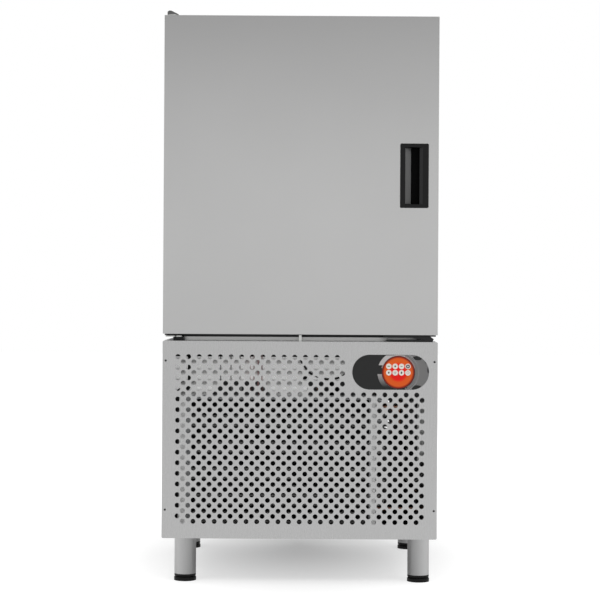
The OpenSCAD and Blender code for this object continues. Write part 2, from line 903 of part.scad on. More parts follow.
// Light sheet over the condenser that keeps warm air from the panel's upper holes, stiffened
// by V-shaped beads that run across it at the pitch of the panel's hole rows
module air_baffle() {
  x0 = -hx + sheet_t + post_w;
  x1 = hx - baffle_right;
  z0 = z_joint - baffle_drop;
  z1 = z_joint - rail_h;
  tab_z = cond_z1 + cond_lid;
  first = z_holes + (hole_rows - 2) / 2 * hole_step;
  beads = floor((first - z0) / (2 * hole_step));
  edge = concat(
    [[0, z1], [0, first]],
    [for (k = [0:beads - 1]) each [
      [bead_d, first - (2 * k + 1) * hole_step], [0, first - (2 * k + 2) * hole_step]]],
    [[0, z0]]
  );
  back = [for (i = [len(edge) - 1:-1:0]) edge[i] + [sheet_t * 1.2, 0]];
  color(steel) {
    translate([x0, cond_y0, 0]) rotate([90, 0, 90]) linear_extrude(x1 - x0)
      polygon(concat(edge, back));
    translate([0, cond_y0, 0]) upright(sheet_t) {
      polygon([[x0, tab_z], [x0 + tab_w, tab_z], [x0 + tab_w + tab_flare, z0], [x0, z0]]);
      polygon([[tab_x, tab_z], [tab_x + tab_w, tab_z], [tab_x + tab_w, z0],
               [tab_x - tab_flare, z0]]);
    }
    block([x0, cond_y0 + sheet_t, z1 - sheet_t], [x1, cond_y0 + fold_d, z1]);
  }
}

// Electrical box with its lid, standing in the tray
module electrical_box() {
  x = -hx + sheet_t + post_w + box_gap + box_w / 2;
  y = y_rear - box_behind - box_l / 2;
  rim = 2;
  color([0.8, 0.8, 0.8]) {
    translate([x, y, z_floor]) linear_extrude(box_h - box_lid)
      rounded(box_w - 2 * rim, box_l - 2 * rim, box_r - rim);
    translate([x, y, z_floor + box_h - box_lid]) linear_extrude(box_lid)
      rounded(box_w, box_l, box_r);
  }
}

// Cable gland in the rear grille, bored for the mains lead
module cable_gland() {
  bore_r = 6.5;
  out = 20;
  back = 14;
  color(black) translate([gland_x, y_rear, gland_z]) difference() {
    union() {
      rod_y(gland_r - 0.1, -sheet_t, 0);
      rotate([-90, 0, 0]) cylinder(r = gland_r + 4, h = 7, $fn = 6);
      rod_y(gland_r - 1, 7, out);
      translate([0, -sheet_t - back, 0]) rotate([-90, 0, 0])
        cylinder(r = gland_r + 4, h = back, $fn = 6);
    }
    rod_y(bore_r, -sheet_t - back - 1, out + 1);
  }
}

// ---------------------------------------------------------------- chamber fittings

module evaporator_coil() {
  z0 = ch_z0 + coil_foot;
  z1 = ch_z1 - coil_foot;
  color([0.75, 0.78, 0.8]) {
    translate([0, coil_y0, z0]) fin_core(-coil_hx, coil_hx, coil_d, z1 - z0);
    for (s = [-1, 1])
      translate([0, 0, z0]) linear_extrude(z1 - z0) polygon([
        [s * coil_hx, coil_y0], [s * (coil_hx + plate_t), coil_y0],
        [s * (coil_hx + plate_t), ch_back], [s * coil_hx, ch_back]
      ]);
  }
  for (row = [0.35, 0.65], s = [-1, 1])
    color(copper)
      return_bends(s, s * (coil_hx + plate_t), coil_y0 + coil_d * row, z0, z1);
}

// Sheet with two fan holes, folded back at its foot and head against the chamber
module fan_panel() {
  ring_r = evap_fan_d / 2 + fan_gap;
  fold = 30;
  lip = 14;
  color(steel) {
    translate([0, fan_y, 0]) upright(sheet_t) difference() {
      translate([-fan_panel_hx, ch_z0]) square([2 * fan_panel_hx, ch_z1 - ch_z0]);
      for (s = [-1, 1]) translate([0, ch_mid + s * evap_fan_gap / 2]) circle(ring_r);
    }
    for (z = [ch_z0, ch_z1 - sheet_t])
      block([-fan_panel_hx, fan_y + sheet_t, z],
            [fan_panel_hx, fan_y + fold, z + sheet_t]);
    for (s = [-1, 1])
      translate([0, fan_y + sheet_t, ch_mid + s * evap_fan_gap / 2]) upright(lip)
        difference() {
          circle(ring_r + sheet_t);
          circle(ring_r);
        }
  }
}

// Wire guards: rings and four spokes in one plane, on posts that stand on the panel
module fan_guards() {
  wire = 3;
  ring_r = evap_fan_d / 2 + fan_gap;
  stand = 24;
  rings = 5;
  post_at = ring_r + 8;
  for (s = [-1, 1])
    color(steel) translate([0, fan_y, ch_mid + s * evap_fan_gap / 2]) {
      translate([0, -stand, 0]) upright(wire) {
        for (k = [1:rings]) difference() {
          circle(ring_r * k / rings + wire / 2);
          circle(ring_r * k / rings - wire / 2);
        }
        for (a = [45, 135]) rotate(a) square([2 * post_at, wire], center = true);
      }
      for (a = [0:90:270]) rotate([0, a + 45, 0])
        translate([post_at, 0, 0]) rod_y(wire, -stand, 0);
    }
}

module evaporator_fan_motors() {
  for (s = [-1, 1])
    color(black)
      translate([0, fan_y + sheet_t, ch_mid + s * evap_fan_gap / 2])
        fan_motor(evap_fan_d / 2 + fan_gap + sheet_t);
}

module evaporator_fan(s) {
  color([0.3, 0.3, 0.32]) translate([0, fan_y + 4, ch_mid + s * evap_fan_gap / 2])
    axial_fan(evap_fan_d, evap_hub_r, evap_chord);
}

// Rack: two uprights on studs, and ten angle runners that the trays slide on
module tray_rack(s) {
  ledge_in = rack_x - sheet_t - (tray_w / 2 - ledge_lap);
  uprights = [runner_y0 + 30, runner_y0 + runner_l - 30 - upright_w];
  z0 = ch_z0 + 15;
  color(steel) for (y = uprights) {
    difference() {
      block([min(s * rack_x, s * (rack_x + upright_d)), y, z0],
            [max(s * rack_x, s * (rack_x + upright_d)), y + upright_w, ch_z0 + rack_h]);
      translate([s * (rack_x + upright_d / 2 + 2), y + upright_w / 2, z0 + rack_h / 2])
        cube([upright_d, upright_w - 4, 2 * rack_h], center = true);
    }
    for (z = [0.2, 0.8])
      translate([s * rack_x, y + upright_w / 2, z0 + rack_h * z])
        scale([s, 1, 1]) rod_x(upright_w / 2 - 3, 0, upright_d + stud_l);
  }
  for (k = [0:levels - 1]) {
    z = ch_z0 + first_level + k * level_h;
    color(steel)
      translate([s * rack_x, runner_y0, z]) scale([s, 1, 1])
        translate([0, runner_l, 0]) rotate([90, 0, 0]) linear_extrude(runner_l) {
          translate([-ledge_in - sheet_t, -sheet_t]) square([ledge_in + sheet_t, sheet_t]);
          translate([-sheet_t, -runner_leg]) square([sheet_t, runner_leg]);
        }
  }
}

// ---------------------------------------------------------------- hinges and door rests

// Plate on the cabinet's top that reaches over the door, with the upper pin
module hinge_bracket_top() {
  back = foam_y0 + 60;
  color(zinc) {
    translate([axis_x, 0, z_top]) linear_extrude(plate_t) {
      translate([-hinge_in + 6, axis_y]) square([plate_w, back - axis_y]);
      translate([0, axis_y]) circle(plate_reach);
    }
    translate([axis_x, axis_y, z_lid - pin_l])
      cylinder(r = pin_d / 2, h = z_top + plate_t - z_lid + pin_l);
  }
}

// Plate under the cabinet's floor that reaches under the door, with the lower pin
module hinge_bracket_bottom() {
  color(zinc) {
    translate([axis_x, 0, z_cab - plate_t]) linear_extrude(plate_t) {
      translate([-hinge_in + 6, axis_y])
        square([plate_w, y_cab + plinth_bar / 3 - axis_y]);
      translate([0, axis_y]) circle(plate_reach);
    }
    translate([axis_x, axis_y, z_cab - plate_t])
      cylinder(r = pin_d / 2, h = z_door + pin_l - z_cab + plate_t);
  }
}

// Black wedge cap over the upper hinge, and the black spacer under the lower plate
module hinge_covers() {
  cap_d = 44;
  x0 = -hinge_in + 7;
  spacer_x = plinth_in;
  spacer_w = 30;
  color(black) {
    translate([axis_x, axis_y - 12, z_top + plate_t]) upright(cap_d) polygon([
      [x0, 0], [x0 + 32, 0], [x0 + 29, 2], [x0 + 12, cap_h - plate_t - 0.5],
      [x0 + 10, cap_h - plate_t], [x0 + 4, cap_h - plate_t], [x0, cap_h - plate_t - 4]
    ]);
    block([-hx + spacer_x, axis_y + 2, z_joint],
          [-hx + spacer_x + spacer_w, y_face + panel_d, z_cab - plate_t]);
  }
}

// Rest for the door's free corner: a bar with a springy leaf, whose top the door slides onto
module door_ramp() {
  w = 143;
  in = 11;
  h = joint_h - door_play;
  bar_h = h * 0.3;
  leaf_z = h * 0.68;
  x1 = hx - in;
  color(black) translate([0, y_face + 6, z_joint]) upright(panel_d - 20) polygon([
    [x1 - w + 8, 0], [x1 - 4, 0], [x1, h / 2], [x1 - 13, h - 0.4], [x1 - w, h - 0.4],
    [x1 - w, leaf_z], [x1 - 62, leaf_z], [x1 - 44, h * 0.46], [x1 - 21, bar_h],
    [x1 - w + 8, bar_h]
  ]);
}

// Magnetic door switch on the plinth
module door_switch() {
  w = 8;
  color(zinc) {
    block([-w / 2, y_face + 10, z_joint], [w / 2, y_face + panel_d - 4, z_door - door_play]);
  }
}

// ---------------------------------------------------------------- legs

module leg_tubes() {
  for (p = leg_spots)
    color(steel) translate([p[0], p[1], 0]) difference() {
      union() {
        translate([0, 0, foot_h]) cylinder(r = leg_d / 2, h = leg_h - foot_h);
        translate([0, 0, leg_h - leg_flange_t])
          cylinder(r = leg_d / 2 + leg_flange, h = leg_flange_t);
      }
      translate([0, 0, foot_h - 1])
        cylinder(r = leg_d / 2 - leg_wall, h = leg_h - foot_h - leg_flange_t + 1);
    }
}

// Plug pressed into each tube, threaded for the foot's stem, with a collar below the tube
module leg_sockets() {
  for (p = leg_spots)
    color(black) translate([p[0], p[1], foot_h]) difference() {
      union() {
        cylinder(r = leg_d / 2 - leg_wall - fit, h = socket_l);
        translate([0, 0, -collar_h]) cylinder(r = leg_d / 2, h = collar_h);
      }
      translate([0, 0, -collar_h - 1])
        cylinder(r = stem_d / 2 + fit, h = socket_l + collar_h + 2);
    }
}

// Levelling foot: a pad with a rounded rim, a neck and the stem
module foot(i) {
  pad_r = leg_d / 2 + 0.8;
  top = foot_h - collar_h - clear;
  neck = 2.2;
  rim = 4;
  stem_l = foot_h + foot_travel + thread_l;
  color(black) translate([leg_spots[i][0], leg_spots[i][1], 0]) rotate_extrude() difference() {
    union() {
      square([pad_r - rim, top - neck]);
      square([pad_r, top - neck - rim]);
      translate([pad_r - rim, top - neck - rim]) circle(rim);
      square([pad_r * 0.76, top]);
      square([stem_d / 2, stem_l]);
    }
    translate([-pad_r, -1]) square([pad_r, stem_l + 2]);
  }
}

// ---------------------------------------------------------------- door

// Tub of the handle as it passes the skin and the foam, grown by g
module handle_block(g, y0, y1) {
  translate([handle_x, y0, handle_z])
    upright(y1 - y0) rounded(handle_w - 2 * handle_rim + 2 * g,
                             handle_h - 2 * handle_rim + 2 * g, handle_r);
}

module bush_pockets(r) {
  translate([axis_x, axis_y, z_door - 1]) cylinder(r = r, h = bush_l + 1);
  translate([axis_x, axis_y, z_lid - bush_l]) cylinder(r = r, h = bush_l + 1);
}

// Folded pan: face, four sides and a narrow lip at the back
module door_skin() {
  edge_r = 3;
  lip = seal_in - 6;
  mid = (z_door + z_lid) / 2;
  color(steel) difference() {
    translate([0, 0, z_door]) linear_extrude(door_h) {
      translate([-hx + edge_r, y_face]) square([body_w - 2 * edge_r, door_t]);
      translate([-hx, y_face + edge_r]) square([body_w, door_t - edge_r]);
      for (s = [-1, 1]) translate([s * (hx - edge_r), y_face + edge_r]) circle(edge_r);
    }
    block([-hx + sheet_t, y_face + sheet_t + edge_r, z_door + sheet_t],
          [hx - sheet_t, y_door - sheet_t, z_lid - sheet_t]);
    block([-hx + sheet_t + edge_r, y_face + sheet_t, z_door + sheet_t],
          [hx - sheet_t - edge_r, y_door - sheet_t, z_lid - sheet_t]);
    translate([0, y_door - 2 * sheet_t, mid])
      upright(4 * sheet_t) rounded(body_w - 2 * lip, door_h - 2 * lip, 4);
    handle_block(0, y_face - 1, y_face + sheet_t + 1);
    bush_pockets(bush_r);
  }
}

module door_foam() {
  lip = seal_in - 6;
  edge_r = 3;
  color(foam_c) difference() {
    union() {
      block([-hx + sheet_t, y_face + sheet_t + edge_r, z_door + sheet_t],
            [hx - sheet_t, y_door - sheet_t, z_lid - sheet_t]);
      block([-hx + sheet_t + edge_r, y_face + sheet_t, z_door + sheet_t],
            [hx - sheet_t - edge_r, y_door - sheet_t, z_lid - sheet_t]);
    }
    handle_block(0, y_face, y_face + handle_d);
    bush_pockets(bush_r);
  }
}

// Inner panel: fills the skin's rear lip, with a shallow raised field towards the chamber
module door_liner() {
  lip = seal_in - 6;
  mid = (z_door + z_lid) / 2;
  raise = 5;
  field = 16;
  color(steel) {
    translate([0, y_door - sheet_t, mid])
      upright(sheet_t) rounded(body_w - 2 * lip, door_h - 2 * lip, 4);
    translate([0, y_door, mid]) upright(raise)
      rounded(body_w - 2 * (seal_in + seal_w + field), door_h - 2 * (seal_in + seal_w + field),
              liner_r);
  }
}

// Gasket: a broad foot on the door and a narrower magnet bulb, both running right round
module gasket_ring(inset, w, t) {
  upright(t) difference() {
    rounded(body_w - 2 * inset, door_h - 2 * inset, 6);
    rounded(body_w - 2 * (inset + w), door_h - 2 * (inset + w), 4);
  }
}
module door_gasket() {
  mid = (z_door + z_lid) / 2;
  foot_t = 3;
  neck = 4;
  bulb = seal_gap - clear - foot_t - 2;
  color(rubber_c) translate([0, y_door, mid]) {
    gasket_ring(seal_in, seal_w, foot_t);
    translate([0, foot_t, 0]) gasket_ring(seal_in + neck, seal_w - 2 * neck, 2);
    translate([0, foot_t + 2, 0]) gasket_ring(seal_in + 1, seal_w - 2, bulb);
  }
}

// Recessed handle: a frame on the skin and a tub. A slope leads the fingers in, and the
// cavity runs on behind the bevelled right lip
module door_handle() {
  x0 = handle_x - handle_w / 2 + grip_in;
  x1 = x0 + grip_w;
  x2 = x1 + 13;
  y0 = y_face - handle_lip;
  y1 = y_face + handle_d - 4;
  color(black) difference() {
    union() {
      translate([handle_x, y0, handle_z])
        upright(handle_lip) rounded(handle_w, handle_h, handle_r);
      handle_block(0, y_face, y_face + handle_d);
    }
    translate([0, 0, handle_z - grip_h / 2]) linear_extrude(grip_h) polygon([
      [x0, y0 - 1], [x1 + lip_bevel, y0 - 1], [x1 + lip_bevel, y0], [x1, y0 + 4],
      [x1, y_face + 5], [x2, y_face + 9], [x2, y1 - 6], [x2 - 6, y1],
      [x0 + grip_slope + 4, y1], [x0 + grip_slope, y_face + 12], [x0, y_face + 1]
    ]);
  }
}

// Bushes in the door's top and bottom, bored for the pins
module door_bushes() {
  color(black) for (up = [0, 1])
    translate([axis_x, axis_y, up == 0 ? z_door : z_lid]) scale([1, 1, up == 0 ? 1 : -1])
      difference() {
        union() {
          cylinder(r = bush_r, h = bush_l);
          translate([0, 0, -(up == 0 ? joint_h - plinth_h : door_play) + clear])
            cylinder(r = bush_flange, h = (up == 0 ? joint_h - plinth_h : door_play) - clear);
        }
        translate([0, 0, -joint_h]) cylinder(r = pin_d / 2 + fit, h = joint_h + pin_l + 2);
      }
}

// ---------------------------------------------------------------- nodes

cabinet_foam();
cabinet_outer_shell();
cabinet_back_panel();
chamber_liner();
front_frame();
plinth_frame();
machine_frame();
side_panel(-1);  // side_panel_left
side_panel(1);  // side_panel_right
rear_grille();
base_tray();
grille_panel();
grille_screws();
control_fascia();
control_ring();
control_disc();
control_housing();
condenser_coil();
condenser_shroud();
condenser_fan_motor();
compressor();
receiver_and_drier();
pipework();
air_baffle();
electrical_box();
evaporator_coil();
fan_panel();
fan_guards();
evaporator_fan_motors();
tray_rack(-1);  // tray_rack_left
tray_rack(1);  // tray_rack_right
hinge_bracket_top();
hinge_bracket_bottom();
hinge_covers();
door_ramp();
door_switch();
leg_tubes();
leg_sockets();
cable_gland();
condenser_fan();
evaporator_fan(1);  // evap_fan_upper
evaporator_fan(-1);  // evap_fan_lower
foot(0);  // foot_front_left
foot(1);  // foot_front_right
foot(2);  // foot_rear_left
foot(3);  // foot_rear_right
control_key(1);  // key_1
control_key(2);  // key_2
control_key(3);  // key_3
control_key(4);  // key_4
control_key(5);  // key_5
control_key(6);  // key_6
control_key(7);  // key_7
control_key(8);  // key_8
door_skin();
door_foam();
door_liner();
door_gasket();
door_handle();
door_bushes();
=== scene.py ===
# %% [markdown]
# # An upright blast chiller
# The real machine is a foamed stainless cabinet with one big door over a machine compartment.
# Its construction is already fixed as solids with real sizes, so this script gives each solid
# its finish and adds the fine pieces that carry the looks: fins, pipes, wires and prints.
# Everything is in metres, Z is up, and the front faces -Y.

# %% Load the fixed frame
import json
import math

import bmesh
import bpy
from mathutils import Matrix, Vector, geometry


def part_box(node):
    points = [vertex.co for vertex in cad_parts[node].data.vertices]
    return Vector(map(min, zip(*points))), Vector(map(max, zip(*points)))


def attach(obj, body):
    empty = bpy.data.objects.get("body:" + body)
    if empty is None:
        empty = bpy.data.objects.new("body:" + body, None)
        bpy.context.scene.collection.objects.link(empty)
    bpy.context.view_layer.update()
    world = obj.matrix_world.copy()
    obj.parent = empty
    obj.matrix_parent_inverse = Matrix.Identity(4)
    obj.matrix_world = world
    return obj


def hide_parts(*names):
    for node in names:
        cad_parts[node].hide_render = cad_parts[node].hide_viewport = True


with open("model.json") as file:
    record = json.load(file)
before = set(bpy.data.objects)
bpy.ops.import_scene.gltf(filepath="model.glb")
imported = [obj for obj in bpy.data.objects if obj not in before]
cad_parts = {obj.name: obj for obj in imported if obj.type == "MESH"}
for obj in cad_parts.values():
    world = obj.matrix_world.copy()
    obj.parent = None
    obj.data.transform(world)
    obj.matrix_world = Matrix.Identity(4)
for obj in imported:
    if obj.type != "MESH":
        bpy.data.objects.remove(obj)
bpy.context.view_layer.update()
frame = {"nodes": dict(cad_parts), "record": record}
MM = 0.001
scene = bpy.context.scene


# %% [markdown]
# The camera stands as a catalogue photographer's does: far off, level, at half the height of
# the machine, so that upright edges stay upright. A long lens fills the frame from there.
# The photograph leans by a third of a degree, which the camera repeats as a small roll.

# %% Camera
PHOTO_PX = 600
MM_PER_PX = 2.871
CAMERA_AWAY = 4.8
CAMERA_HEIGHT = 0.818
CAMERA_SIDE = -0.0014
PHOTO_ROLL = -0.34
SENSOR = 36.0

front_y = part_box("door_skin")[0].y
frame_width = PHOTO_PX * MM_PER_PX * MM
camera_data = bpy.data.cameras.new("camera")
camera_data.sensor_width = SENSOR
camera_data.lens = SENSOR * CAMERA_AWAY / frame_width
camera = bpy.data.objects.new("camera", camera_data)
scene.collection.objects.link(camera)
camera.location = (CAMERA_SIDE, front_y - CAMERA_AWAY, CAMERA_HEIGHT)
camera.rotation_euler = (math.radians(90), math.radians(PHOTO_ROLL), 0)
scene.camera = camera
print("lens:", round(camera_data.lens, 1), "mm")


# %% [markdown]
# A node material is a small graph, or tree. A few helpers keep it short. They set and link
# sockets, add a node, pick one coordinate, map one range onto another, lay a colour ramp and
# scale a colour.

# %% Node helpers
WHITE = (1, 1, 1, 1)


def tune(node, **inputs):
    """Sets sockets by name; an underscore stands for a space."""
    for name, value in inputs.items():
        node.inputs[name.replace("_", " ")].default_value = value


def link(source, socket):
    """Feeds a socket from another; both know their tree."""
    socket.id_data.links.new(source, socket)


def add(tree, kind, settings=None, **inputs):
    """A shader node of that kind. settings are its properties, inputs its sockets by name."""
    node = tree.nodes.new("ShaderNode" + kind)
    for name, value in (settings or {}).items():
        setattr(node, name, value)
    tune(node, **inputs)
    return node


def math_node(tree, operation, *values):
    """A Math node; each value is a number or the socket that feeds it."""
    node = add(tree, "Math", {"operation": operation})
    for socket, value in zip(node.inputs, values):
        if isinstance(value, bpy.types.NodeSocket):
            link(value, socket)
        else:
            socket.default_value = value
    return node.outputs[0]


def one_axis(tree, vector, letter):
    split = add(tree, "SeparateXYZ")
    link(vector, split.inputs[0])
    return split.outputs[letter]


def spread(tree, value, source, target):
    """Maps a value from one range onto another."""
    span = add(tree, "MapRange", From_Min=source[0], From_Max=source[1],
               To_Min=target[0], To_Max=target[1])
    link(value, span.inputs["Value"])
    return span.outputs[0]


def ramp(tree, value, stops, interpolation="LINEAR"):
    """A colour ramp through stops of (position, colour)."""
    node = add(tree, "ValToRGB")
    node.color_ramp.interpolation = interpolation
    elements = node.color_ramp.elements
    while len(elements) < len(stops):
        elements.new(1.0)
    for element, (at, colour) in zip(elements, stops):
        element.position = at
        element.color = (*colour, 1)
    link(value, node.inputs["Fac"])
    return node.outputs["Color"]


def scaled(tree, colour, factor):
    node = add(tree, "VectorMath", {"operation": "SCALE"})
    link(colour, node.inputs[0])
    link(factor, node.inputs["Scale"])
    return node.outputs[0]


print("node helpers:", ", ".join(f.__name__ for f in (add, math_node, one_axis, spread, ramp)))


# %% [markdown]
# Finishes are kept under their names. Two helpers start one and open its graph again. The third
# says which rays see the white studio itself: camera and glossy rays do, the rays that light the
# machine do not.

# %% Material helpers
finishes = {}


def graph(name):
    tree = finishes[name].node_tree
    return tree, tree.nodes["Principled BSDF"]


def new_material(name):
    finishes[name] = bpy.data.materials.new(name)
    finishes[name].use_nodes = True
    return graph(name)


def sees_studio(tree, mirrored=1.0):
    """1 for camera rays, mirrored for glossy ones, 0 for those that carry light."""
    path = add(tree, "LightPath")
    shiny = math_node(tree, "MULTIPLY", path.outputs["Is Glossy Ray"], mirrored)
    return math_node(tree, "MAXIMUM", path.outputs["Is Camera Ray"], shiny)


print("finishes so far:", len(finishes))


# %% [markdown]
# The floor is pale and matt. A little glow that only the camera and polished metal see lifts
# it to the white of the background. The glow is weakest round the back of the machine and grows
# away from it: painted shade that deepens the soft shadow under it, so that the shadow stays and
# the floor meets the white wall without an edge.

# %% Floor
FLOOR_COLOUR = 0.38
FLOOR_LIFT = 0.25
FAR_LIFT = 0.82
SHADE_MIDDLE = 0.40
SHADE_REACH = (0.0, 1.2)
SHADE_NARROW = 1.9
MIRRORED = 0.56
FLOOR_HALF = 20


def link_mesh(name, bm):
    """Makes an object of a finished bmesh, at the origin."""
    mesh = bpy.data.meshes.new(name)
    bm.to_mesh(mesh)
    bm.free()
    piece = bpy.data.objects.new(name, mesh)
    scene.collection.objects.link(piece)
    return piece


tree, shader = new_material("studio_floor")
tune(shader, Base_Color=(FLOOR_COLOUR,) * 3 + (1,), Roughness=0.9, Specular_IOR_Level=0.0,
     Emission_Color=WHITE)
place = add(tree, "TexCoord")
shade = add(tree, "Mapping", Location=(0, -SHADE_MIDDLE, 0), Scale=(SHADE_NARROW, 1, 1))
link(place.outputs["Object"], shade.inputs["Vector"])
away = add(tree, "VectorMath", {"operation": "LENGTH"})
link(shade.outputs[0], away.inputs[0])
# painted shade: the glow is lower near the machine
glow = spread(tree, away.outputs["Value"], SHADE_REACH, (FLOOR_LIFT, FAR_LIFT))
seen = sees_studio(tree, MIRRORED)
link(math_node(tree, "MULTIPLY", seen, glow), shader.inputs["Emission Strength"])
bm = bmesh.new()
bmesh.ops.create_grid(bm, x_segments=1, y_segments=1, size=FLOOR_HALF)
floor = link_mesh("floor", bm)
floor.data.materials.append(finishes["studio_floor"])
print("floor:", 2 * FLOOR_HALF, "m wide")


# %% [markdown]
# The studio's walls are white up to the camera's height, a grey curtain runs round above them,
# and a pale silk hangs overhead. Brushed steel mirrors all of it, blurred, which is why a tall
# door darkens softly to its top. A colour ramp over the height holds the three, and the wall
# is a little dimmer on the left. Behind the machine the camera sees plain white.

# %% World
STUDIO = ((0.0, 1.0), (0.10, 1.0), (0.25, 0.20), (0.42, 0.20), (0.70, 0.75))
DIM_LEFT = 0.93
LEFT_WALL = (-0.10, 0.0)
DAYLIGHT = 0.60

world = bpy.data.worlds.new("studio")
scene.world = world
world.use_nodes = True
tree = world.node_tree
tree.nodes.clear()
place = add(tree, "TexCoord").outputs["Generated"]
heights = ramp(tree, one_axis(tree, place, "Z"),
               [(at, (grey,) * 3) for at, grey in STUDIO], "EASE")
side = spread(tree, one_axis(tree, place, "X"), LEFT_WALL, (DIM_LEFT, 1.0))
wall = math_node(tree, "MULTIPLY", heights, side)
looks = add(tree, "LightPath").outputs["Is Camera Ray"]
room = add(tree, "Background")
link(math_node(tree, "MAXIMUM", wall, looks), room.inputs["Color"])
daylight = add(tree, "Background", Color=(DAYLIGHT,) * 3 + (1,))
choose = add(tree, "MixShader")
link(sees_studio(tree), choose.inputs[0])
link(daylight.outputs[0], choose.inputs[1])
link(room.outputs[0], choose.inputs[2])
link(choose.outputs[0], add(tree, "OutputWorld").inputs[0])
print("world lit at", DAYLIGHT)


# %% [markdown]
# Big soft lamps make soft edges. One stands high on the left, one fills from the right, one
# hangs over the machine, and one behind keeps the back readable when the view turns round. The
# lamps that stand beside it are not mirrored, or the flat top would flash white from behind.

# %% Lamps
def softbox(name, size, watts, place, target, mirrored=True):
    lamp = bpy.data.lights.new(name, "AREA")
    lamp.shape = "RECTANGLE"
    lamp.size, lamp.size_y = size
    lamp.energy = watts
    holder = bpy.data.objects.new(name, lamp)
    scene.collection.objects.link(holder)
    holder.location = place
    holder.visible_glossy = mirrored
    aim = Vector(target) - Vector(place)
    holder.rotation_euler = aim.to_track_quat("-Z", "Y").to_euler()


softbox("key", (1.8, 1.8), 62, (-3.0, -3.0, 3.9), (0, 0, 0.7), mirrored=False)
softbox("fill", (1.8, 1.8), 62, (3.2, -2.8, 3.7), (0, 0, 0.7), mirrored=False)
softbox("top", (2.8, 2.2), 34, (0, -0.2, 4.4), (0, 0, 0.8))
softbox("back", (2.6, 2.6), 42, (0.9, 4.6, 2.9), (0, 0, 0.9), mirrored=False)
scene.view_settings.view_transform = "Standard"


# %% [markdown]
# Most finishes start from a noise in object space, so that they sit still on the part from any
# side. One helper stretches the noise along the axes, one turns it into two close shades, one
# into a range of gloss, and one into the height of a fine grain. Another lays colour on colour.

# %% Pattern helpers
LOW, HIGH = 0.32, 0.68


def object_noise(tree, per_metre, detail=2.0):
    """Noise with so many waves a metre along x, y and z."""
    place = add(tree, "TexCoord")
    mapping = add(tree, "Mapping", Scale=per_metre)
    link(place.outputs["Object"], mapping.inputs["Vector"])
    texture = add(tree, "TexNoise", Scale=1.0, Detail=detail)
    link(mapping.outputs[0], texture.inputs["Vector"])
    return texture.outputs["Fac"]


def shades(tree, source, dark, light, socket):
    link(ramp(tree, source, ((LOW, dark), (HIGH, light))), socket)


def gloss(tree, source, smooth, rough, shader):
    link(spread(tree, source, (LOW, HIGH), (smooth, rough)), shader.inputs["Roughness"])


def grain(tree, source, depth, strength, shader):
    bump = add(tree, "Bump", Distance=depth, Strength=strength)
    link(source, bump.inputs["Height"])
    link(bump.outputs[0], shader.inputs["Normal"])


def near(colour, step):
    """The same colour a little darker and a little lighter."""
    return [tuple(max(0.0, c * (1 + s * step)) for c in colour) for s in (-1, 1)]


def overlay(tree, mask, under, over):
    """Lays one colour over another where the mask is 1."""
    mix = add(tree, "Mix", {"data_type": "RGBA"})
    link(mask, mix.inputs["Factor"])
    for socket, colour in ((mix.inputs[6], under), (mix.inputs[7], over)):
        if isinstance(colour, bpy.types.NodeSocket):
            link(colour, socket)
        else:
            socket.default_value = (*colour, 1)
    return mix.outputs[2]


print("noise is read between", LOW, "and", HIGH)


# %% [markdown]
# Stainless sheet is ground with a belt, which leaves fine straight scratches that all run one
# way. From near they are stripes of slightly different gloss, from afar a silky sheen. A noise
# with many waves across the grain and few along it draws them; a second, wide noise adds the
# faint smears of a surface that has been wiped.

# %% Stainless steel
SMEARS = (2.3, 2.3, 2.3)
STRIPE_SHARE = 0.6


def brushed_steel(name, colour, rough, per_metre, contrast=0.012):
    tree, shader = new_material(name)
    stripes = object_noise(tree, per_metre, 3.0)
    smears = object_noise(tree, SMEARS)
    shades(tree, stripes, *near(colour, contrast), shader.inputs["Base Color"])
    both = math_node(tree, "ADD",
                     math_node(tree, "MULTIPLY", stripes, STRIPE_SHARE),
                     math_node(tree, "MULTIPLY", smears, 1 - STRIPE_SHARE))
    gloss(tree, both, rough - 0.02, rough + 0.03, shader)
    tune(shader, Metallic=1.0)
    grain(tree, stripes, 0.00002, 0.03, shader)


UPRIGHT_GRAIN = (1600, 1600, 12)
LEVEL_GRAIN = (12, 1600, 1600)
brushed_steel("brushed_stainless", (0.558, 0.558, 0.556), 0.22, UPRIGHT_GRAIN)
brushed_steel("perforated_stainless", (0.556, 0.556, 0.556), 0.27, UPRIGHT_GRAIN)
brushed_steel("chamber_stainless", (0.52, 0.52, 0.515), 0.30, LEVEL_GRAIN)
brushed_steel("leg_stainless", (0.50, 0.50, 0.50), 0.30, (500, 500, 30))
brushed_steel("plinth_stainless", (0.55, 0.55, 0.545), 0.30, LEVEL_GRAIN)
print("finishes:", len(finishes))


# %% [markdown]
# The legs are tubes: their outer side mirrors the bright room and their inner side the dark
# space below the machine. Blurred mirroring loses most of that, so it is painted into the
# colour:
# painted shade on the inner side, a painted reflection that lightens the outer side. It follows
# the normal, and the sign of x tells a left leg from a right one.

# %% Leg shade
LEG_TURN = (-0.75, 0.6)
LEG_SHADE = (0.66, 1.12)

tree, shader = graph("leg_stainless")
base = shader.inputs["Base Color"]
place = add(tree, "TexCoord")
outward = math_node(
    tree, "MULTIPLY", one_axis(tree, place.outputs["Normal"], "X"),
    math_node(tree, "SIGN", one_axis(tree, place.outputs["Object"], "X")))
# painted shade on the inner side, painted reflection on the outer side
painted_leg_shade = spread(tree, outward, LEG_TURN, LEG_SHADE)
link(scaled(tree, base.links[0].from_socket, painted_leg_shade), base)
print("legs shaded from", LEG_SHADE[0], "to", LEG_SHADE[1])


# %% [markdown]
# Inner sheets are galvanised: zinc freezes in flat crystals, which Voronoi cells draw well.
# Small brackets are bright zinc plate, and pipes are drawn copper, which darkens where it is
# handled. Fins are bare aluminium in the chamber and painted black in the condenser.

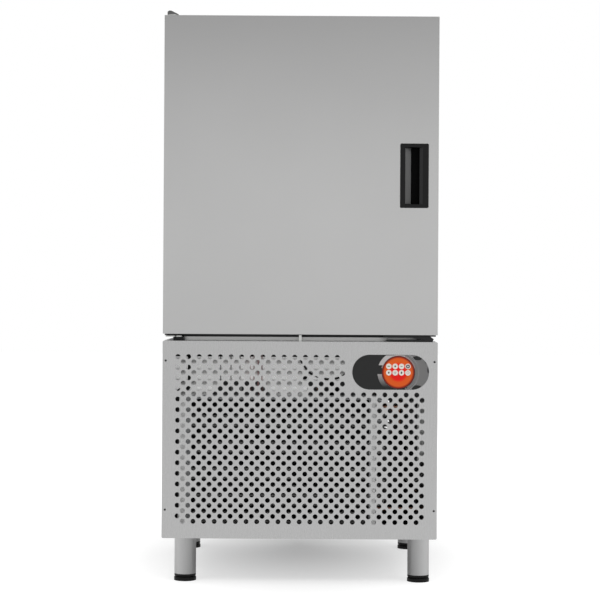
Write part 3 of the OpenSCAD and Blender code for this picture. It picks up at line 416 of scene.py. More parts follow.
# %% Zinc, copper and aluminium
def spangled(name, dark, light, rough):
    tree, shader = new_material(name)
    place = add(tree, "TexCoord")
    cells = add(tree, "TexVoronoi", Scale=110.0)
    link(place.outputs["Object"], cells.inputs["Vector"])
    grey = add(tree, "RGBToBW")
    link(cells.outputs["Color"], grey.inputs[0])
    shades(tree, grey.outputs[0], dark, light, shader.inputs["Base Color"])
    gloss(tree, grey.outputs[0], rough, rough + 0.12, shader)
    tune(shader, Metallic=0.4)


def plain_metal(name, colour, rough, per_metre, metallic=1.0, contrast=0.12):
    tree, shader = new_material(name)
    cloud = object_noise(tree, (per_metre,) * 3, 4.0)
    shades(tree, cloud, *near(colour, contrast), shader.inputs["Base Color"])
    gloss(tree, cloud, rough, rough + 0.15, shader)
    tune(shader, Metallic=metallic)
    grain(tree, cloud, 0.00005, 0.15, shader)


spangled("galvanised", (0.49, 0.50, 0.51), (0.57, 0.58, 0.59), 0.36)
plain_metal("zinc_plate", (0.70, 0.71, 0.69), 0.28, 60)
plain_metal("copper_pipe", (0.72, 0.38, 0.26), 0.26, 40, 1.0, 0.2)
plain_metal("fin_aluminium", (0.74, 0.76, 0.78), 0.34, 70)
plain_metal("dark_fins", (0.040, 0.040, 0.042), 0.5, 60, 0.2)
plain_metal("pale_tube", (0.36, 0.36, 0.35), 0.55, 50)
plain_metal("dark_tubes", (0.34, 0.34, 0.33), 0.42, 50, 0.6)
print("finishes:", len(finishes))


# %% [markdown]
# The pale baffle behind the upper holes gets its light through them. Its beads have slopes that
# face up and slopes that face down, one under each row of holes. A faint glow on the upper ones
# stands for the light that many small holes let in, which few samples cannot gather. The
# condenser's bright flanges get a little of it too.

# %% Baffle and flange steel
SLOPE_HEIGHT = 0.0155
SHADED_SLOPE = 0.6391
SLOPE_GLOW = (0.015, 0.35)
FLANGE_GLOW = 0.17

plain_metal("baffle_sheet", (0.92, 0.92, 0.91), 0.6, 12, 0.0, 0.03)
tree, shader = graph("baffle_sheet")
tune(shader, Emission_Color=WHITE)
place = add(tree, "TexCoord").outputs["Object"]
above = math_node(tree, "SUBTRACT", one_axis(tree, place, "Z"), SHADED_SLOPE)
bead = math_node(tree, "PINGPONG", above, SLOPE_HEIGHT)
lit = spread(tree, bead, (0.25 * SLOPE_HEIGHT, 0.75 * SLOPE_HEIGHT), SLOPE_GLOW)
link(lit, shader.inputs["Emission Strength"])
# The flanges get a faint glow too: painted light.
plain_metal("flange_steel", (0.80, 0.80, 0.79), 0.5, 12, 0.1, 0.03)
tune(graph("flange_steel")[1], Emission_Color=WHITE, Emission_Strength=FLANGE_GLOW)
print("bead slopes:", SLOPE_HEIGHT / MM, "mm high")


# %% [markdown]
# Black mouldings differ in gloss and grain: a soft gasket, a grained handle, a smooth printed
# fascia. One recipe with a few numbers covers them: colour, gloss, grain size, grain depth,
# how much clear coat lies on top and how strongly the bare surface mirrors.

# %% Plastics, rubber, enamel and foam
def moulded(name, colour, rough, per_metre, depth, coat=0.0, shine=0.3):
    tree, shader = new_material(name)
    skin = object_noise(tree, (per_metre,) * 3, 3.0)
    shades(tree, skin, *near(colour, 0.14), shader.inputs["Base Color"])
    gloss(tree, skin, rough - 0.04, rough + 0.06, shader)
    tune(shader, Specular_IOR_Level=shine, Coat_Weight=coat, Coat_Roughness=0.08)
    grain(tree, skin, depth, 0.35, shader)


MOULDINGS = (
    ("foam", (0.86, 0.76, 0.48), 0.85, 500, 0.0006),
    ("frame_black", (0.11, 0.11, 0.112), 0.48, 900, 0.00006),
    ("screw_black", (0.012, 0.012, 0.012), 0.35, 500, 0.00002),
    ("housing_black", (0.035, 0.035, 0.037), 0.5, 800, 0.00005),
    ("compressor_enamel", (0.014, 0.014, 0.015), 0.22, 260, 0.00008, 0.5),
    ("receiver_enamel", (0.03, 0.05, 0.12), 0.26, 260, 0.00006, 0.4),
    ("box_grey", (0.78, 0.79, 0.78), 0.45, 700, 0.00005),
    ("hinge_black", (0.020, 0.020, 0.021), 0.42, 900, 0.00006),
    ("foot_black", (0.007, 0.007, 0.007), 0.42, 900, 0.00006, 0, 0.2),
    ("fan_grey", (0.10, 0.10, 0.11), 0.42, 700, 0.00005),
    ("gasket_black", (0.020, 0.020, 0.021), 0.62, 1200, 0.00008, 0, 0.2),
    ("handle_black", (0.011, 0.011, 0.0115), 0.44, 1400, 0.00008, 0, 0.2),
    # a grey that paints the reflection on the grip's slope
    ("handle_grey", (0.14, 0.14, 0.14), 0.5, 1400, 0.00008, 0, 0.2),
    ("key_white", (0.96, 0.89, 0.82), 0.45, 1500, 0.00002),
    ("key_grey", (0.06, 0.06, 0.07), 0.5, 1500, 0.00001),
    ("key_green", (0.30, 0.36, 0.20), 0.5, 1500, 0.00001),
    ("key_navy", (0.02, 0.022, 0.05), 0.45, 1500, 0.00001),
    ("key_rose", (0.62, 0.30, 0.30), 0.5, 1500, 0.00001),
    ("wire_black", (0.012, 0.012, 0.013), 0.4, 1500, 0.00003),
    ("wire_white", (0.85, 0.85, 0.84), 0.4, 1500, 0.00003),
    ("wire_red", (0.62, 0.34, 0.34), 0.4, 1500, 0.00003),
    ("wire_rose", (0.72, 0.52, 0.52), 0.4, 1500, 0.00003),
    ("sleeve_grey", (0.05, 0.05, 0.052), 0.8, 700, 0.0003),
)
for row in MOULDINGS:
    moulded(*row)
print("finishes:", len(finishes))


# %% [markdown]
# The grip is a deep pocket with black walls. Its colour is painted darker with the depth behind
# the door's face, as painted shade, and the bevel along the lip, which faces left, is painted a
# little paler, as a painted highlight. Object coordinates and normals keep both on the handle
# when the door swings.

# %% Handle pocket
POCKET_FROM, POCKET_TO = 0.008, 0.022
POCKET_SHADE, POCKET_SHINE = (1.0, 0.32), 0.2
BEVEL_TURN = (-0.2, -0.4)
LIP_PAINTED_HIGHLIGHT = (0.026, 0.026, 0.027)

tree, shader = graph("handle_black")
base = shader.inputs["Base Color"]
place = add(tree, "TexCoord")
# painted shade: darker the deeper into the pocket
depth = spread(tree, one_axis(tree, place.outputs["Object"], "Y"),
               (front_y + POCKET_FROM, front_y + POCKET_TO), POCKET_SHADE)
# painted highlight on the left-facing bevel of the lip
bevel = spread(tree, one_axis(tree, place.outputs["Normal"], "X"), BEVEL_TURN, (0.0, 1.0))
colour = overlay(tree, bevel, base.links[0].from_socket, LIP_PAINTED_HIGHLIGHT)
link(scaled(tree, colour, depth), base)
link(math_node(tree, "MULTIPLY", depth, POCKET_SHINE), shader.inputs["Specular IOR Level"])
print("pocket fades over", round((POCKET_TO - POCKET_FROM) / MM), "mm")


# %% [markdown]
# The key field is one round moulding, printed from behind: red in the middle and orange round
# it. Towards its edge the colour darkens to a dark rim, which is painted shade. The distance
# from its axis drives a colour ramp, and a Mapping node moves the pattern onto the field, whose
# centre is read from the solid.

# %% Key field
def middle(node):
    low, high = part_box(node)
    return (low + high) / 2


def film_place(tree, centre):
    """Distance from an upright centre in the film, and the place relative to it."""
    place = add(tree, "TexCoord")
    mapping = add(tree, "Mapping", Location=(-centre.x, 0, -centre.z), Scale=(1, 0, 1))
    link(place.outputs["Object"], mapping.inputs["Vector"])
    far = add(tree, "VectorMath", {"operation": "LENGTH"})
    link(mapping.outputs[0], far.inputs[0])
    right, up = (one_axis(tree, mapping.outputs[0], letter) for letter in "XZ")
    return far.outputs["Value"], right, up


RED = (0.95, 0.012, 0.008)
ORANGE = (0.86, 0.125, 0.016)
# painted shade: the field darkens towards its rim
RIM_SHADE_DEEP = (0.36, 0.030, 0.012)
RIM_SHADE_DARK = (0.05, 0.005, 0.005)
disc_low, disc_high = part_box("control_disc")
disc_r = (disc_high.x - disc_low.x) / 2
RINGS = ((0.0, RED), (0.46, RED), (0.64, ORANGE), (0.84, ORANGE), (0.93, RIM_SHADE_DEEP), (1.0, RIM_SHADE_DARK))
tree, shader = new_material("disc_print")
far, _, _ = film_place(tree, middle("control_disc"))
link(ramp(tree, math_node(tree, "DIVIDE", far, disc_r), RINGS), shader.inputs["Base Color"])
tune(shader, Roughness=0.4, Specular_IOR_Level=0.25)
print("key field radius:", round(disc_r / MM, 1), "mm")


# %% [markdown]
# The fascia's film is black, with a field of grey dots right of the key field, whose edge is
# torn like a stencil, and thin pale arcs round the keys. All are measured on the film: the
# distance from the key field's axis, the place along it, and a noise for the torn edge. Masks
# of 0 and 1 say where each print lies, and these helpers make and join them.

# %% Film helpers
SPOT_NOISE, SPOT_LIMIT = 1.2, 1.6


def beyond(tree, value, limit):
    return math_node(tree, "GREATER_THAN", value, limit)


def all_of(tree, *masks):
    """1 where every mask is 1."""
    whole = masks[0]
    for mask in masks[1:]:
        whole = math_node(tree, "MULTIPLY", whole, mask)
    return whole


def between(tree, value, low, high):
    """1 where the value lies between two limits."""
    below = math_node(tree, "LESS_THAN", value, high)
    return all_of(tree, beyond(tree, value, low), below)


def torn_spot(tree, right, up, torn, spot, reach):
    """1 inside a ragged ellipse on the film."""
    total = math_node(tree, "MULTIPLY", torn, SPOT_NOISE)
    for socket, centre, half in zip((right, up), spot, reach):
        share = math_node(tree, "DIVIDE", math_node(tree, "SUBTRACT", socket, centre), half)
        total = math_node(tree, "ADD", total, math_node(tree, "POWER", share, 2.0))
    return math_node(tree, "LESS_THAN", total, SPOT_LIMIT)


fascia_low, fascia_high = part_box("control_fascia")
key_centre = middle("control_disc")
end_r = (fascia_high.z - fascia_low.z) / 2
end_centre = Vector((fascia_high.x - end_r, 0, middle("control_fascia").z))
print("film's round end:", round(end_r / MM, 1), "mm radius")


# %% [markdown]
# The prints are laid one over another: black film, the dotted field where it is not torn away,
# a pale arc right of the keys, and a rosy one above them.

# %% Printed film
FILM_BLACK = (0.027, 0.0275, 0.0275)
DOTS = ((0.165, 0.165, 0.165, 1), (0.260, 0.255, 0.255, 1))
DOT_PITCH = 0.0040
FIELD_FROM, FIELD_RIGHT = 0.048, 0.014
TORN_REACH, TORN_SLOPE, TORN_LIMIT = 0.041, 22.0, 0.82
TORN_SPOTS = (((0.054, 0.041), (0.014, 0.006)), ((0.086, 0.006), (0.003, 0.008)),
              ((0.054, -0.045), (0.016, 0.008)))
ARC, PALE = (0.0578, 0.0592), (0.38, 0.38, 0.38)
ROSE_ARC, ROSE = (0.0474, 0.0502), (0.42, 0.30, 0.29)
ARC_FROM = 0.012

tree, shader = new_material("fascia_print")
far, right, up = film_place(tree, key_centre)
edge_far, _, _ = film_place(tree, end_centre)
place = add(tree, "TexCoord")
dots = add(tree, "TexChecker", Scale=1 / DOT_PITCH, Color1=DOTS[0], Color2=DOTS[1])
flat = add(tree, "Mapping", Scale=(1, 0, 1))
link(place.outputs["Object"], flat.inputs["Vector"])
link(flat.outputs[0], dots.inputs["Vector"])
torn = object_noise(tree, (70, 1, 70), 3.0)
past = math_node(tree, "SUBTRACT", edge_far, TORN_REACH)
rim = math_node(tree, "ADD", torn, math_node(tree, "MULTIPLY", past, TORN_SLOPE))
ragged = math_node(tree, "LESS_THAN", rim, TORN_LIMIT)
field = all_of(tree, ragged, beyond(tree, far, FIELD_FROM), beyond(tree, right, FIELD_RIGHT))
colour = overlay(tree, field, FILM_BLACK, dots.outputs["Color"])
for spot, reach in TORN_SPOTS:
    gone = torn_spot(tree, right, up, torn, spot, reach)
    colour = overlay(tree, gone, colour, FILM_BLACK)
for limits, tint, way in ((ARC, PALE, right), (ROSE_ARC, ROSE, up)):
    arc = all_of(tree, between(tree, far, *limits), beyond(tree, way, ARC_FROM))
    colour = overlay(tree, arc, colour, tint)
link(colour, shader.inputs["Base Color"])
gloss(tree, torn, 0.36, 0.46, shader)
tune(shader, Specular_IOR_Level=0.2)
print("film printed round", [round(v, 3) for v in key_centre])


# %% [markdown]
# The silver arcs are solids of their own, pale above and painted darker to black below: painted
# shade.

# %% Silver arcs
ARC_SHADE_SPAN = (-0.042, 0.010)
ARC_TONES = ((0.02, 0.02, 0.02), (0.58, 0.55, 0.55))

tree, shader = new_material("ring_print")
_, _, up = film_place(tree, key_centre)
# painted shade: the arcs darken downwards
fade = spread(tree, up, ARC_SHADE_SPAN, (0.0, 1.0))
link(ramp(tree, fade, tuple(enumerate(ARC_TONES))), shader.inputs["Base Color"])
gloss(tree, object_noise(tree, (900, 900, 900)), 0.34, 0.42, shader)
tune(shader, Specular_IOR_Level=0.3)
print("silver arcs fade over", round((ARC_SHADE_SPAN[1] - ARC_SHADE_SPAN[0]) / MM), "mm")


# %% [markdown]
# The hinge covers are moulded of one black plastic, but the upper one reads greyer. Height
# picks the shade.

# %% Hinge covers
# The upper cover is coloured greyer than the lower one, by height alone.
UPPER_COVER_GREY = (0.12, 0.12, 0.12)
UPPER_FROM = 1.2

tree, shader = graph("hinge_black")
base = shader.inputs["Base Color"]
place = add(tree, "TexCoord").outputs["Object"]
upper = beyond(tree, one_axis(tree, place, "Z"), UPPER_FROM)
link(overlay(tree, upper, base.links[0].from_socket, UPPER_COVER_GREY), base)
print("upper hinge cover:", UPPER_COVER_GREY[0])


# %% [markdown]
# Every solid now gets its finish. Solids keep their shapes; only what is in their material
# slots changes. The record names one slot for each node, and the finish of that name goes in,
# or the one that the table names. The plinth stands back under the door, and its steel is a
# duller sheet.

# %% Dress the solids
OWN_FINISH = {
    "fascia_black": "fascia_print", "ring_silver": "ring_print", "disc_orange_red": "disc_print",
    "coil_dark": "dark_fins", "coil_aluminium": "fin_aluminium", "baffle_light": "baffle_sheet",
    "compressor_black": "compressor_enamel", "receiver_blue": "receiver_enamel",
    "zinc_bracket": "zinc_plate",
}


def dress(node, finish):
    piece = frame["nodes"][node]
    piece.data.materials.clear()
    piece.data.materials.append(finishes[finish])


for part in frame["record"]["subparts"]:
    slot = part["material_slot"]
    dress(part["node"], OWN_FINISH.get(slot, slot))
dress("plinth_frame", "plinth_stainless")


# %% [markdown]
# New pieces are built from a few bmesh operators. A bar is a cube stretched between two
# corners, a rod a cone with equal ends turned onto its line, and a pipe is a circle that is
# extruded and turned from point to point of its route.

# %% Shape helpers
SMOOTH_ANGLE = 35


def bar(bm, low, high):
    """A block between two corners."""
    low, high = Vector(low), Vector(high)
    fit = Matrix.Translation((low + high) / 2) @ Matrix.Diagonal((*(high - low), 1))
    return bmesh.ops.create_cube(bm, size=1, matrix=fit)["verts"]


def facing(direction):
    """Turns +Z onto a direction."""
    return Vector(direction).to_track_quat("Z", "Y").to_matrix().to_4x4()


def rod(bm, start, end, radius, sides=16, end_radius=None):
    start, end = Vector(start), Vector(end)
    fit = Matrix.Translation((start + end) / 2) @ facing(end - start)
    top = radius if end_radius is None else end_radius
    return bmesh.ops.create_cone(bm, cap_ends=True, segments=sides, radius1=radius,
                                 radius2=top, depth=(end - start).length, matrix=fit)["verts"]


def edges_of(verts):
    return list(dict.fromkeys(e for v in verts for e in v.link_edges))


def soft_edges(bm, edges, size, segments=2):
    bmesh.ops.bevel(bm, geom=edges, offset=size, offset_type="OFFSET", segments=segments,
                    profile=0.5, affect="EDGES", material=-1)


def soft_bar(bm, low, high, size, segments=2):
    """A block with bevelled edges."""
    soft_edges(bm, edges_of(bar(bm, low, high)), size, segments)


def sweep(bm, path, radius, sides=10):
    """A tube along a list of points: one circle, extruded and turned from each to the next."""
    path = [Vector(p) for p in path]
    ahead = [(b - a).normalized() for a, b in zip(path, path[1:])]
    along = [ahead[0]] + [(a + b).normalized() for a, b in zip(ahead, ahead[1:])] + [ahead[-1]]
    turn = along[0].to_track_quat("Z", "Y")
    fit = Matrix.Translation(path[0]) @ turn.to_matrix().to_4x4()
    ring = bmesh.ops.create_circle(bm, cap_ends=True, segments=sides, radius=radius, matrix=fit)
    edges = edges_of(ring["verts"])
    for point, before, now in zip(path[1:], along, along[1:]):
        grown = bmesh.ops.extrude_edge_only(bm, edges=edges)["geom"]
        verts = [g for g in grown if isinstance(g, bmesh.types.BMVert)]
        edges = [g for g in grown if isinstance(g, bmesh.types.BMEdge)]
        turn = before.rotation_difference(now) @ turn
        fresh = Matrix.Translation(point) @ turn.to_matrix().to_4x4()
        bmesh.ops.transform(bm, matrix=fresh @ fit.inverted(), verts=verts)
        fit = fresh
    bmesh.ops.contextual_create(bm, geom=edges)


def bent(points, radius, steps=6):
    """A route in mm with each corner rounded to a quarter bend, as a pipe bender makes it."""
    points = [Vector(p) * MM for p in points]
    radius *= MM
    route = [points[0]]
    for a, b, c in zip(points, points[1:], points[2:]):
        back, on = (a - b).normalized(), (c - b).normalized()
        hub = b + (back + on) * radius
        for i in range(steps + 1):
            t = math.radians(90 * i / steps)
            route.append(hub - on * radius * math.cos(t) - back * radius * math.sin(t))
    return route + [points[-1]]


def settle(name, bm, finish, body="root", flat=False):
    """Finishes a piece: clean normals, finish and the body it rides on."""
    bmesh.ops.recalc_face_normals(bm, faces=bm.faces)
    for face in bm.faces:
        face.smooth = not flat
    piece = link_mesh(name, bm)
    if not flat:
        piece.data.set_sharp_from_angle(angle=math.radians(SMOOTH_ANGLE))
    piece.data.materials.append(finishes[finish])
    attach(piece, body)
    print(name, "faces:", len(piece.data.polygons))
    return piece


print("edges sharper than", SMOOTH_ANGLE, "degrees stay sharp")


# %% [markdown]
# A coil is a stack of thin fins pressed over rows of tube, which turn back at both ends in
# hairpin bends. The solids hold one fin for every few real ones, so finer pieces take their
# place: folded foil, rods through it and bends swept at the ends. Through the holes of the
# front panel the black fins read as depth and the tubes as grey lines.

# %% Coil helpers
TUBE_R = 0.0048
END_PLATE = 0.003
BEND_SPACE = 0.024
FOLD = 0.10


def fin_stack(name, low, high, pitch, thick, finish):
    """Fins folded once along their middle, as pressed fins are, so that no light passes."""
    bm = bmesh.new()
    fold = (low.y + high.y) / 2
    for i in range(int((high.x - low.x - thick) / pitch) + 1):
        x = low.x + i * pitch
        for y0, y1 in ((low.y, fold), (fold, high.y)):
            verts = bar(bm, (x, y0, low.z), (x + thick, y1, high.z))
            for vert in verts:
                vert.co.x += FOLD * (0.5 * (high.y - low.y) - abs(vert.co.y - fold))
    return settle(name, bm, finish, flat=True)


def tube_rows(first, pitch, count):
    return [first + pitch * i for i in range(count)]


def tube_bank(name, low, high, depths, rows, finish):
    bm = bmesh.new()
    for y in depths:
        for z in rows:
            rod(bm, (low.x, y, z), (high.x, y, z), TUBE_R, 16)
    return settle(name, bm, finish)


def hairpins(name, low, high, depths, rows, out, finish):
    """Bends on both ends: pairs of rows on one side, the pairs between them on the other."""
    bm = bmesh.new()
    r = (rows[1] - rows[0]) / 2
    for y in depths:
        for side, x, pairs in ((1, high.x, rows[::2]), (-1, low.x, rows[1:-1:2])):
            for z in pairs:
                hub = Vector((x + side * out, y, z + r))
                turn = [hub + r * Vector((side * math.sin(t), 0, -math.cos(t)))
                        for t in (math.radians(15 * i) for i in range(13))]
                ends = [Vector((x, y, z)), Vector((x, y, z + 2 * r))]
                sweep(bm, [ends[0]] + turn + [ends[1]], TUBE_R, 10)
    return settle(name, bm, finish)


print("hairpins reach out", BEND_SPACE / MM, "mm")


# %% [markdown]
# The condenser stands behind the perforated panel. Its rows of tube lie an inch apart, which
# the photograph shows as grey lines through the holes.

# %% Condenser
COND_PITCH = 0.0256
COND_ROWS = 14
coil_low, coil_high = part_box("condenser_coil")
bend_reach = END_PLATE + BEND_SPACE
cond_low = Vector((coil_low.x + bend_reach, coil_low.y + 0.0015, coil_low.z + 0.001))
cond_high = Vector((coil_high.x - bend_reach, coil_high.y, coil_high.z - 0.0005))
depth = cond_high.y - cond_low.y
cond_depths = [cond_low.y + depth * share for share in (0.10, 0.5, 0.88)]
cond_rows = tube_rows(cond_low.z + 0.0335, COND_PITCH, COND_ROWS)
pieces = [
    fin_stack("condenser_fins", cond_low, cond_high, 0.0030, 0.0003, "dark_fins"),
    tube_bank("condenser_tubes", cond_low, cond_high, cond_depths, cond_rows, "dark_tubes"),
    hairpins("condenser_bends", cond_low, cond_high, (cond_depths[0], cond_depths[2]), cond_rows,
             0.030, "pale_tube"),
]
for piece in pieces:
    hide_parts("condenser_coil")
print("condenser from", round(cond_low.x, 3), "to", round(cond_high.x, 3))


# %% [markdown]
# Both ends of the condenser have a bright steel flange that screws to the shroud. Its face
# catches the light through the holes beside the dark fins, and a faint painted glow adds light,
# so that it shows as a pale upright band.

# %% Condenser flanges
FLANGE_T = 0.0006
FLANGES = ((-0.3545, -0.3335), (0.2075, 0.2215))

flange_y = cond_low.y - 0.0030
bm = bmesh.new()
for x0, x1 in FLANGES:
    soft_bar(bm, (x0, flange_y, cond_low.z + 0.004),
             (x1, flange_y + FLANGE_T, cond_high.z + 0.012), 0.0002)
    for share in (0.06, 0.5, 0.94):
        z = cond_low.z + (cond_high.z - cond_low.z) * share
        centre = Vector(((x0 + x1) / 2, flange_y, z))
        rod(bm, centre, centre - Vector((0, 0.0018, 0)), 0.0034, 16, 0.0026)
settle("condenser_flanges", bm, "flange_steel")


# %% [markdown]
# The evaporator stands behind the fan panel in the chamber. It is deeper, its fins are wider
# apart, since frost grows on them, and thick end plates carry its four rows of tube.

# %% Evaporator
EVAP_DEPTH = 0.130
EVAP_PITCH = 0.0318
EVAP_ROWS = 20
evap_low, evap_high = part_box("evaporator_coil")
core_low = Vector((evap_low.x + bend_reach, evap_low.y, evap_low.z))
core_high = Vector((evap_high.x - bend_reach, evap_low.y + EVAP_DEPTH, evap_high.z))
evap_depths = [core_low.y + EVAP_DEPTH * share for share in (0.14, 0.38, 0.62, 0.86)]
evap_first = (core_low.z + core_high.z - EVAP_PITCH * (EVAP_ROWS - 1)) / 2
evap_rows = tube_rows(evap_first, EVAP_PITCH, EVAP_ROWS)
bm = bmesh.new()
for side, x in ((-1, core_low.x), (1, core_high.x)):
    outer = x + side * END_PLATE
    verts = bar(bm, (min(x, outer), evap_low.y, evap_low.z),
                (max(x, outer), evap_high.y, evap_high.z))
    front = {e for v in verts for e in v.link_edges
             if all(abs(w.co.y - evap_low.y) < 1e-6 for w in e.verts)}
    soft_edges(bm, list(front), 0.0012)
pieces = [
    settle("evaporator_end_plates", bm, "galvanised"),
    fin_stack("evaporator_fins", core_low, core_high, 0.0055, 0.0004, "fin_aluminium"),
    tube_bank("evaporator_tubes", core_low, core_high, evap_depths, evap_rows, "copper_pipe"),
    hairpins("evaporator_bends", core_low, core_high, evap_depths, evap_rows, END_PLATE,
             "copper_pipe"),
]
for piece in pieces:
    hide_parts("evaporator_coil")
print("evaporator fins", round((core_high.x - core_low.x) / MM), "mm wide")


# %% [markdown]
# The refrigerant runs in copper pipe, bent cold on a roller, so every bend has one radius. A
# circle is swept along each route. The suction line is cold and would drip, so it wears a
# sleeve of black foam, open at its ends. Brazed joints show as slightly thicker rings.

# %% Refrigerant pipes
PIPE_BEND = 28
PIPE_R = 0.005
SUCTION_R = 0.008
SLEEVE_R = 0.0145
discharge = [(308, -26, 421), (308, -26, 507), (308, -296, 507), (206, -296, 507)]
condensate = [(206, -296, 207), (375.8, -296, 207), (375.8, 174, 207), (346.8, 174, 207)]
to_drier = [(300, 174, 351), (300, 174, 487), (220, 174, 487)]
to_coil = [(110, 174, 487), (60, 174, 487), (60, 300, 487), (60, 300, 839)]
suction = [(112, 300, 839), (112, 300, 287), (112, -26, 287), (156, -26, 287)]

bm = bmesh.new()
for route in (discharge, condensate, to_drier, to_coil):
    sweep(bm, bent(route, PIPE_BEND), PIPE_R, 16)
sweep(bm, bent(suction, PIPE_BEND), SUCTION_R, 16)
for route, r in ((discharge, PIPE_R), (condensate, PIPE_R), (to_drier, PIPE_R),
                 (to_coil, PIPE_R), (suction, SUCTION_R)):
    for end, inner in ((route[0], route[1]), (route[-1], route[-2])):
        end, inner = Vector(end) * MM, Vector(inner) * MM
        rod(bm, end, end + (inner - end).normalized() * 0.009, r * 1.22, 16)
pipes = settle("refrigerant_pipes", bm, "copper_pipe")

bm = bmesh.new()
sleeved = bent([(112, 300, 690), (112, 300, 287), (112, -26, 287), (140, -26, 287)], PIPE_BEND)
sweep(bm, sleeved, SLEEVE_R, 20)
sleeve = settle("suction_line_sleeve", bm, "sleeve_grey")
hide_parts("pipework")
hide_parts("pipework")


# %% [markdown]
# Behind the upper rows of holes hang the leads of the control and the fans. A black strip along
# the baffle's top paints the shadow under the rail; each lead comes out there through a grommet,
# hangs down in front of the baffle and turns back under its lower edge to a terminal block on
# the condenser. They are short and clipped at both ends, so a circle swept along a rounded route
# is enough.

# %% Leads behind the panel
LEAD_TOP = 662
LEAD_LOW = 566
LEAD_BEND = 7
LEAD_HANG = 11
baffle_low, baffle_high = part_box("air_baffle")
baffle_y = baffle_low.y / MM
cond_top = (cond_high.z / MM) + 5
block_x, block_y = -292, -262


def lead(name, x, r, finish, row):
    """One lead: out of the baffle, down, back under its edge and over to the block."""
    y = baffle_y - LEAD_HANG
    back_y = block_y + 7 * row
    route = [(x, baffle_y, LEAD_TOP), (x, y, LEAD_TOP), (x, y, LEAD_LOW), (x, back_y, LEAD_LOW),
             (x, back_y, cond_top), (block_x + 22, back_y, cond_top)]
    bm = bmesh.new()
    sweep(bm, bent(route, LEAD_BEND), r * MM, 10)
    return settle(name, bm, finish)


# A black strip on the baffle's top: painted shadow under the rail.
bm = bmesh.new()
soft_bar(bm, (baffle_low.x + 0.001, baffle_low.y - 0.002, 0.6515),
         (baffle_high.x - 0.001, baffle_low.y + 0.0015, 0.6685), 0.0008)
settle("baffle_painted_shadow", bm, "gasket_black")

lead("lead_thin_black", -231, 1.5, "wire_black", 0)
lead("lead_white_left", -201, 2.3, "wire_white", 1)
lead("lead_white_right", -175, 2.3, "wire_white", 2)
for i, (x, finish) in enumerate(((-146, "wire_red"), (-134, "wire_rose"), (-122, "wire_red"),
                                 (-111, "wire_rose"))):
    lead("lead_red_%d" % (i + 1), x, 1.9, finish, 3 + i * 0.6)

bm = bmesh.new()
conduit = bent([(-321, baffle_y, 656), (-321, -346, 656), (-321, -346, 556), (-356, -346, 556),
                (-356, -346, 200), (-356, 30, 200), (-320, 30, 200), (-320, 90, 200)], 14)
sweep(bm, conduit, 5.5 * MM, 14)
settle("cable_conduit", bm, "wire_black")


# %% [markdown]
# The leads end on a terminal block, a black bar with a row of screws. Where each comes out of
# the baffle, a rubber grommet keeps the sheet from cutting it: a small circle spun round.

# %% Terminal block and grommets
bm = bmesh.new()
soft_bar(bm, (-0.306, -0.266, cond_high.z + 0.0017), (-0.270, -0.214, cond_high.z + 0.021),
         0.0015)
for i in range(6):
    y = -0.260 + 0.008 * i
    rod(bm, (-0.288, y, cond_high.z + 0.020), (-0.288, y, cond_high.z + 0.023), 0.0026, 12)
settle("terminal_block", bm, "housing_black")


def spun(bm, fit, segments, thick, centre, axis, steps):
    """A small circle spun to a ring round an axis."""
    loop = bmesh.ops.create_circle(bm, cap_ends=False, segments=segments, radius=thick,
                                   matrix=fit)["verts"]
    bmesh.ops.spin(bm, geom=loop + edges_of(loop), cent=centre, axis=axis, angle=math.tau,
                   steps=steps, use_merge=True, use_duplicate=False)


def ring(bm, centre, direction, r, thick):
    """A rubber grommet."""
    turn = facing(direction)
    fit = Matrix.Translation(Vector(centre)) @ turn @ Matrix.Translation((r, 0, 0)) \
        @ Matrix.Rotation(math.radians(90), 4, "X")
    spun(bm, fit, 8, thick, centre, turn.to_3x3().col[2], 20)


bm = bmesh.new()
for x, r in ((-231, 2.4), (-201, 3.4), (-175, 3.4), (-146, 3.0), (-134, 3.0), (-122, 3.0),
             (-111, 3.0)):
    ring(bm, (x * MM, baffle_low.y - 0.0005, LEAD_TOP * MM), (0, 1, 0), r * MM, 0.0012)
ring(bm, (-0.321, baffle_low.y - 0.001, 0.656), (0, 1, 0), 0.0075, 0.002)
settle("lead_grommets", bm, "gasket_black")


# %% [markdown]
# The control's own cable is thicker and sags in one bow from the baffle to the back of the
# control. Its points follow the bow that shows through the holes; a smooth curve is laid
# through them with a Bezier handle at each, which Blender's interpolate_bezier turns to points.

# %% Control cable
def smooth(points, steps=5):
    """A smooth line through points in mm."""
    points = [Vector(p) * MM for p in points]
    pull = [(b - a) / 6 for a, b in zip([points[0]] + points, points[1:] + [points[-1]])]
    line = []
    for a, b, out, back in zip(points, points[1:], pull, pull[1:]):
        line += geometry.interpolate_bezier(a, a + out, b - back, b, steps + 1)[:-1]
    return line + [points[-1]]


house_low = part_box("control_housing")[0]
bow = [(-14, -326, 664), (-12, -340, 662), (0, -346, 647), (13, -348, 625), (28, -350, 607),
       (47, -352, 597), (76, -354, 589), (108, -358, 592), (142, -366, 609),
       (176, -378, 624), (196, -383, 628), (house_low.x / MM + 6, -384, 628)]
bm = bmesh.new()
sweep(bm, smooth(bow), 3.4 * MM, 12)
ring(bm, Vector(bow[0]) * MM, (0, 1, 0), 0.0045, 0.0015)
settle("control_cable", bm, "wire_black")

bm = bmesh.new()
rod(bm, (0.013, baffle_low.y + 0.001, 0.5935), (0.013, baffle_low.y - 0.004, 0.5935), 0.0085,
    24, 0.0065)
ring(bm, (0.013, baffle_low.y - 0.0035, 0.5935), (0, 1, 0), 0.006, 0.0015)
settle("baffle_plug", bm, "gasket_black")


# %% [markdown]
# On the right of the condenser, the panel's holes show a pale relay box on the corner post and
# the thin pressure lines of its switch, which curl beside the hairpin bends. The box is a bar
# with bevelled edges and a lid line; the lines are swept along soft curves.

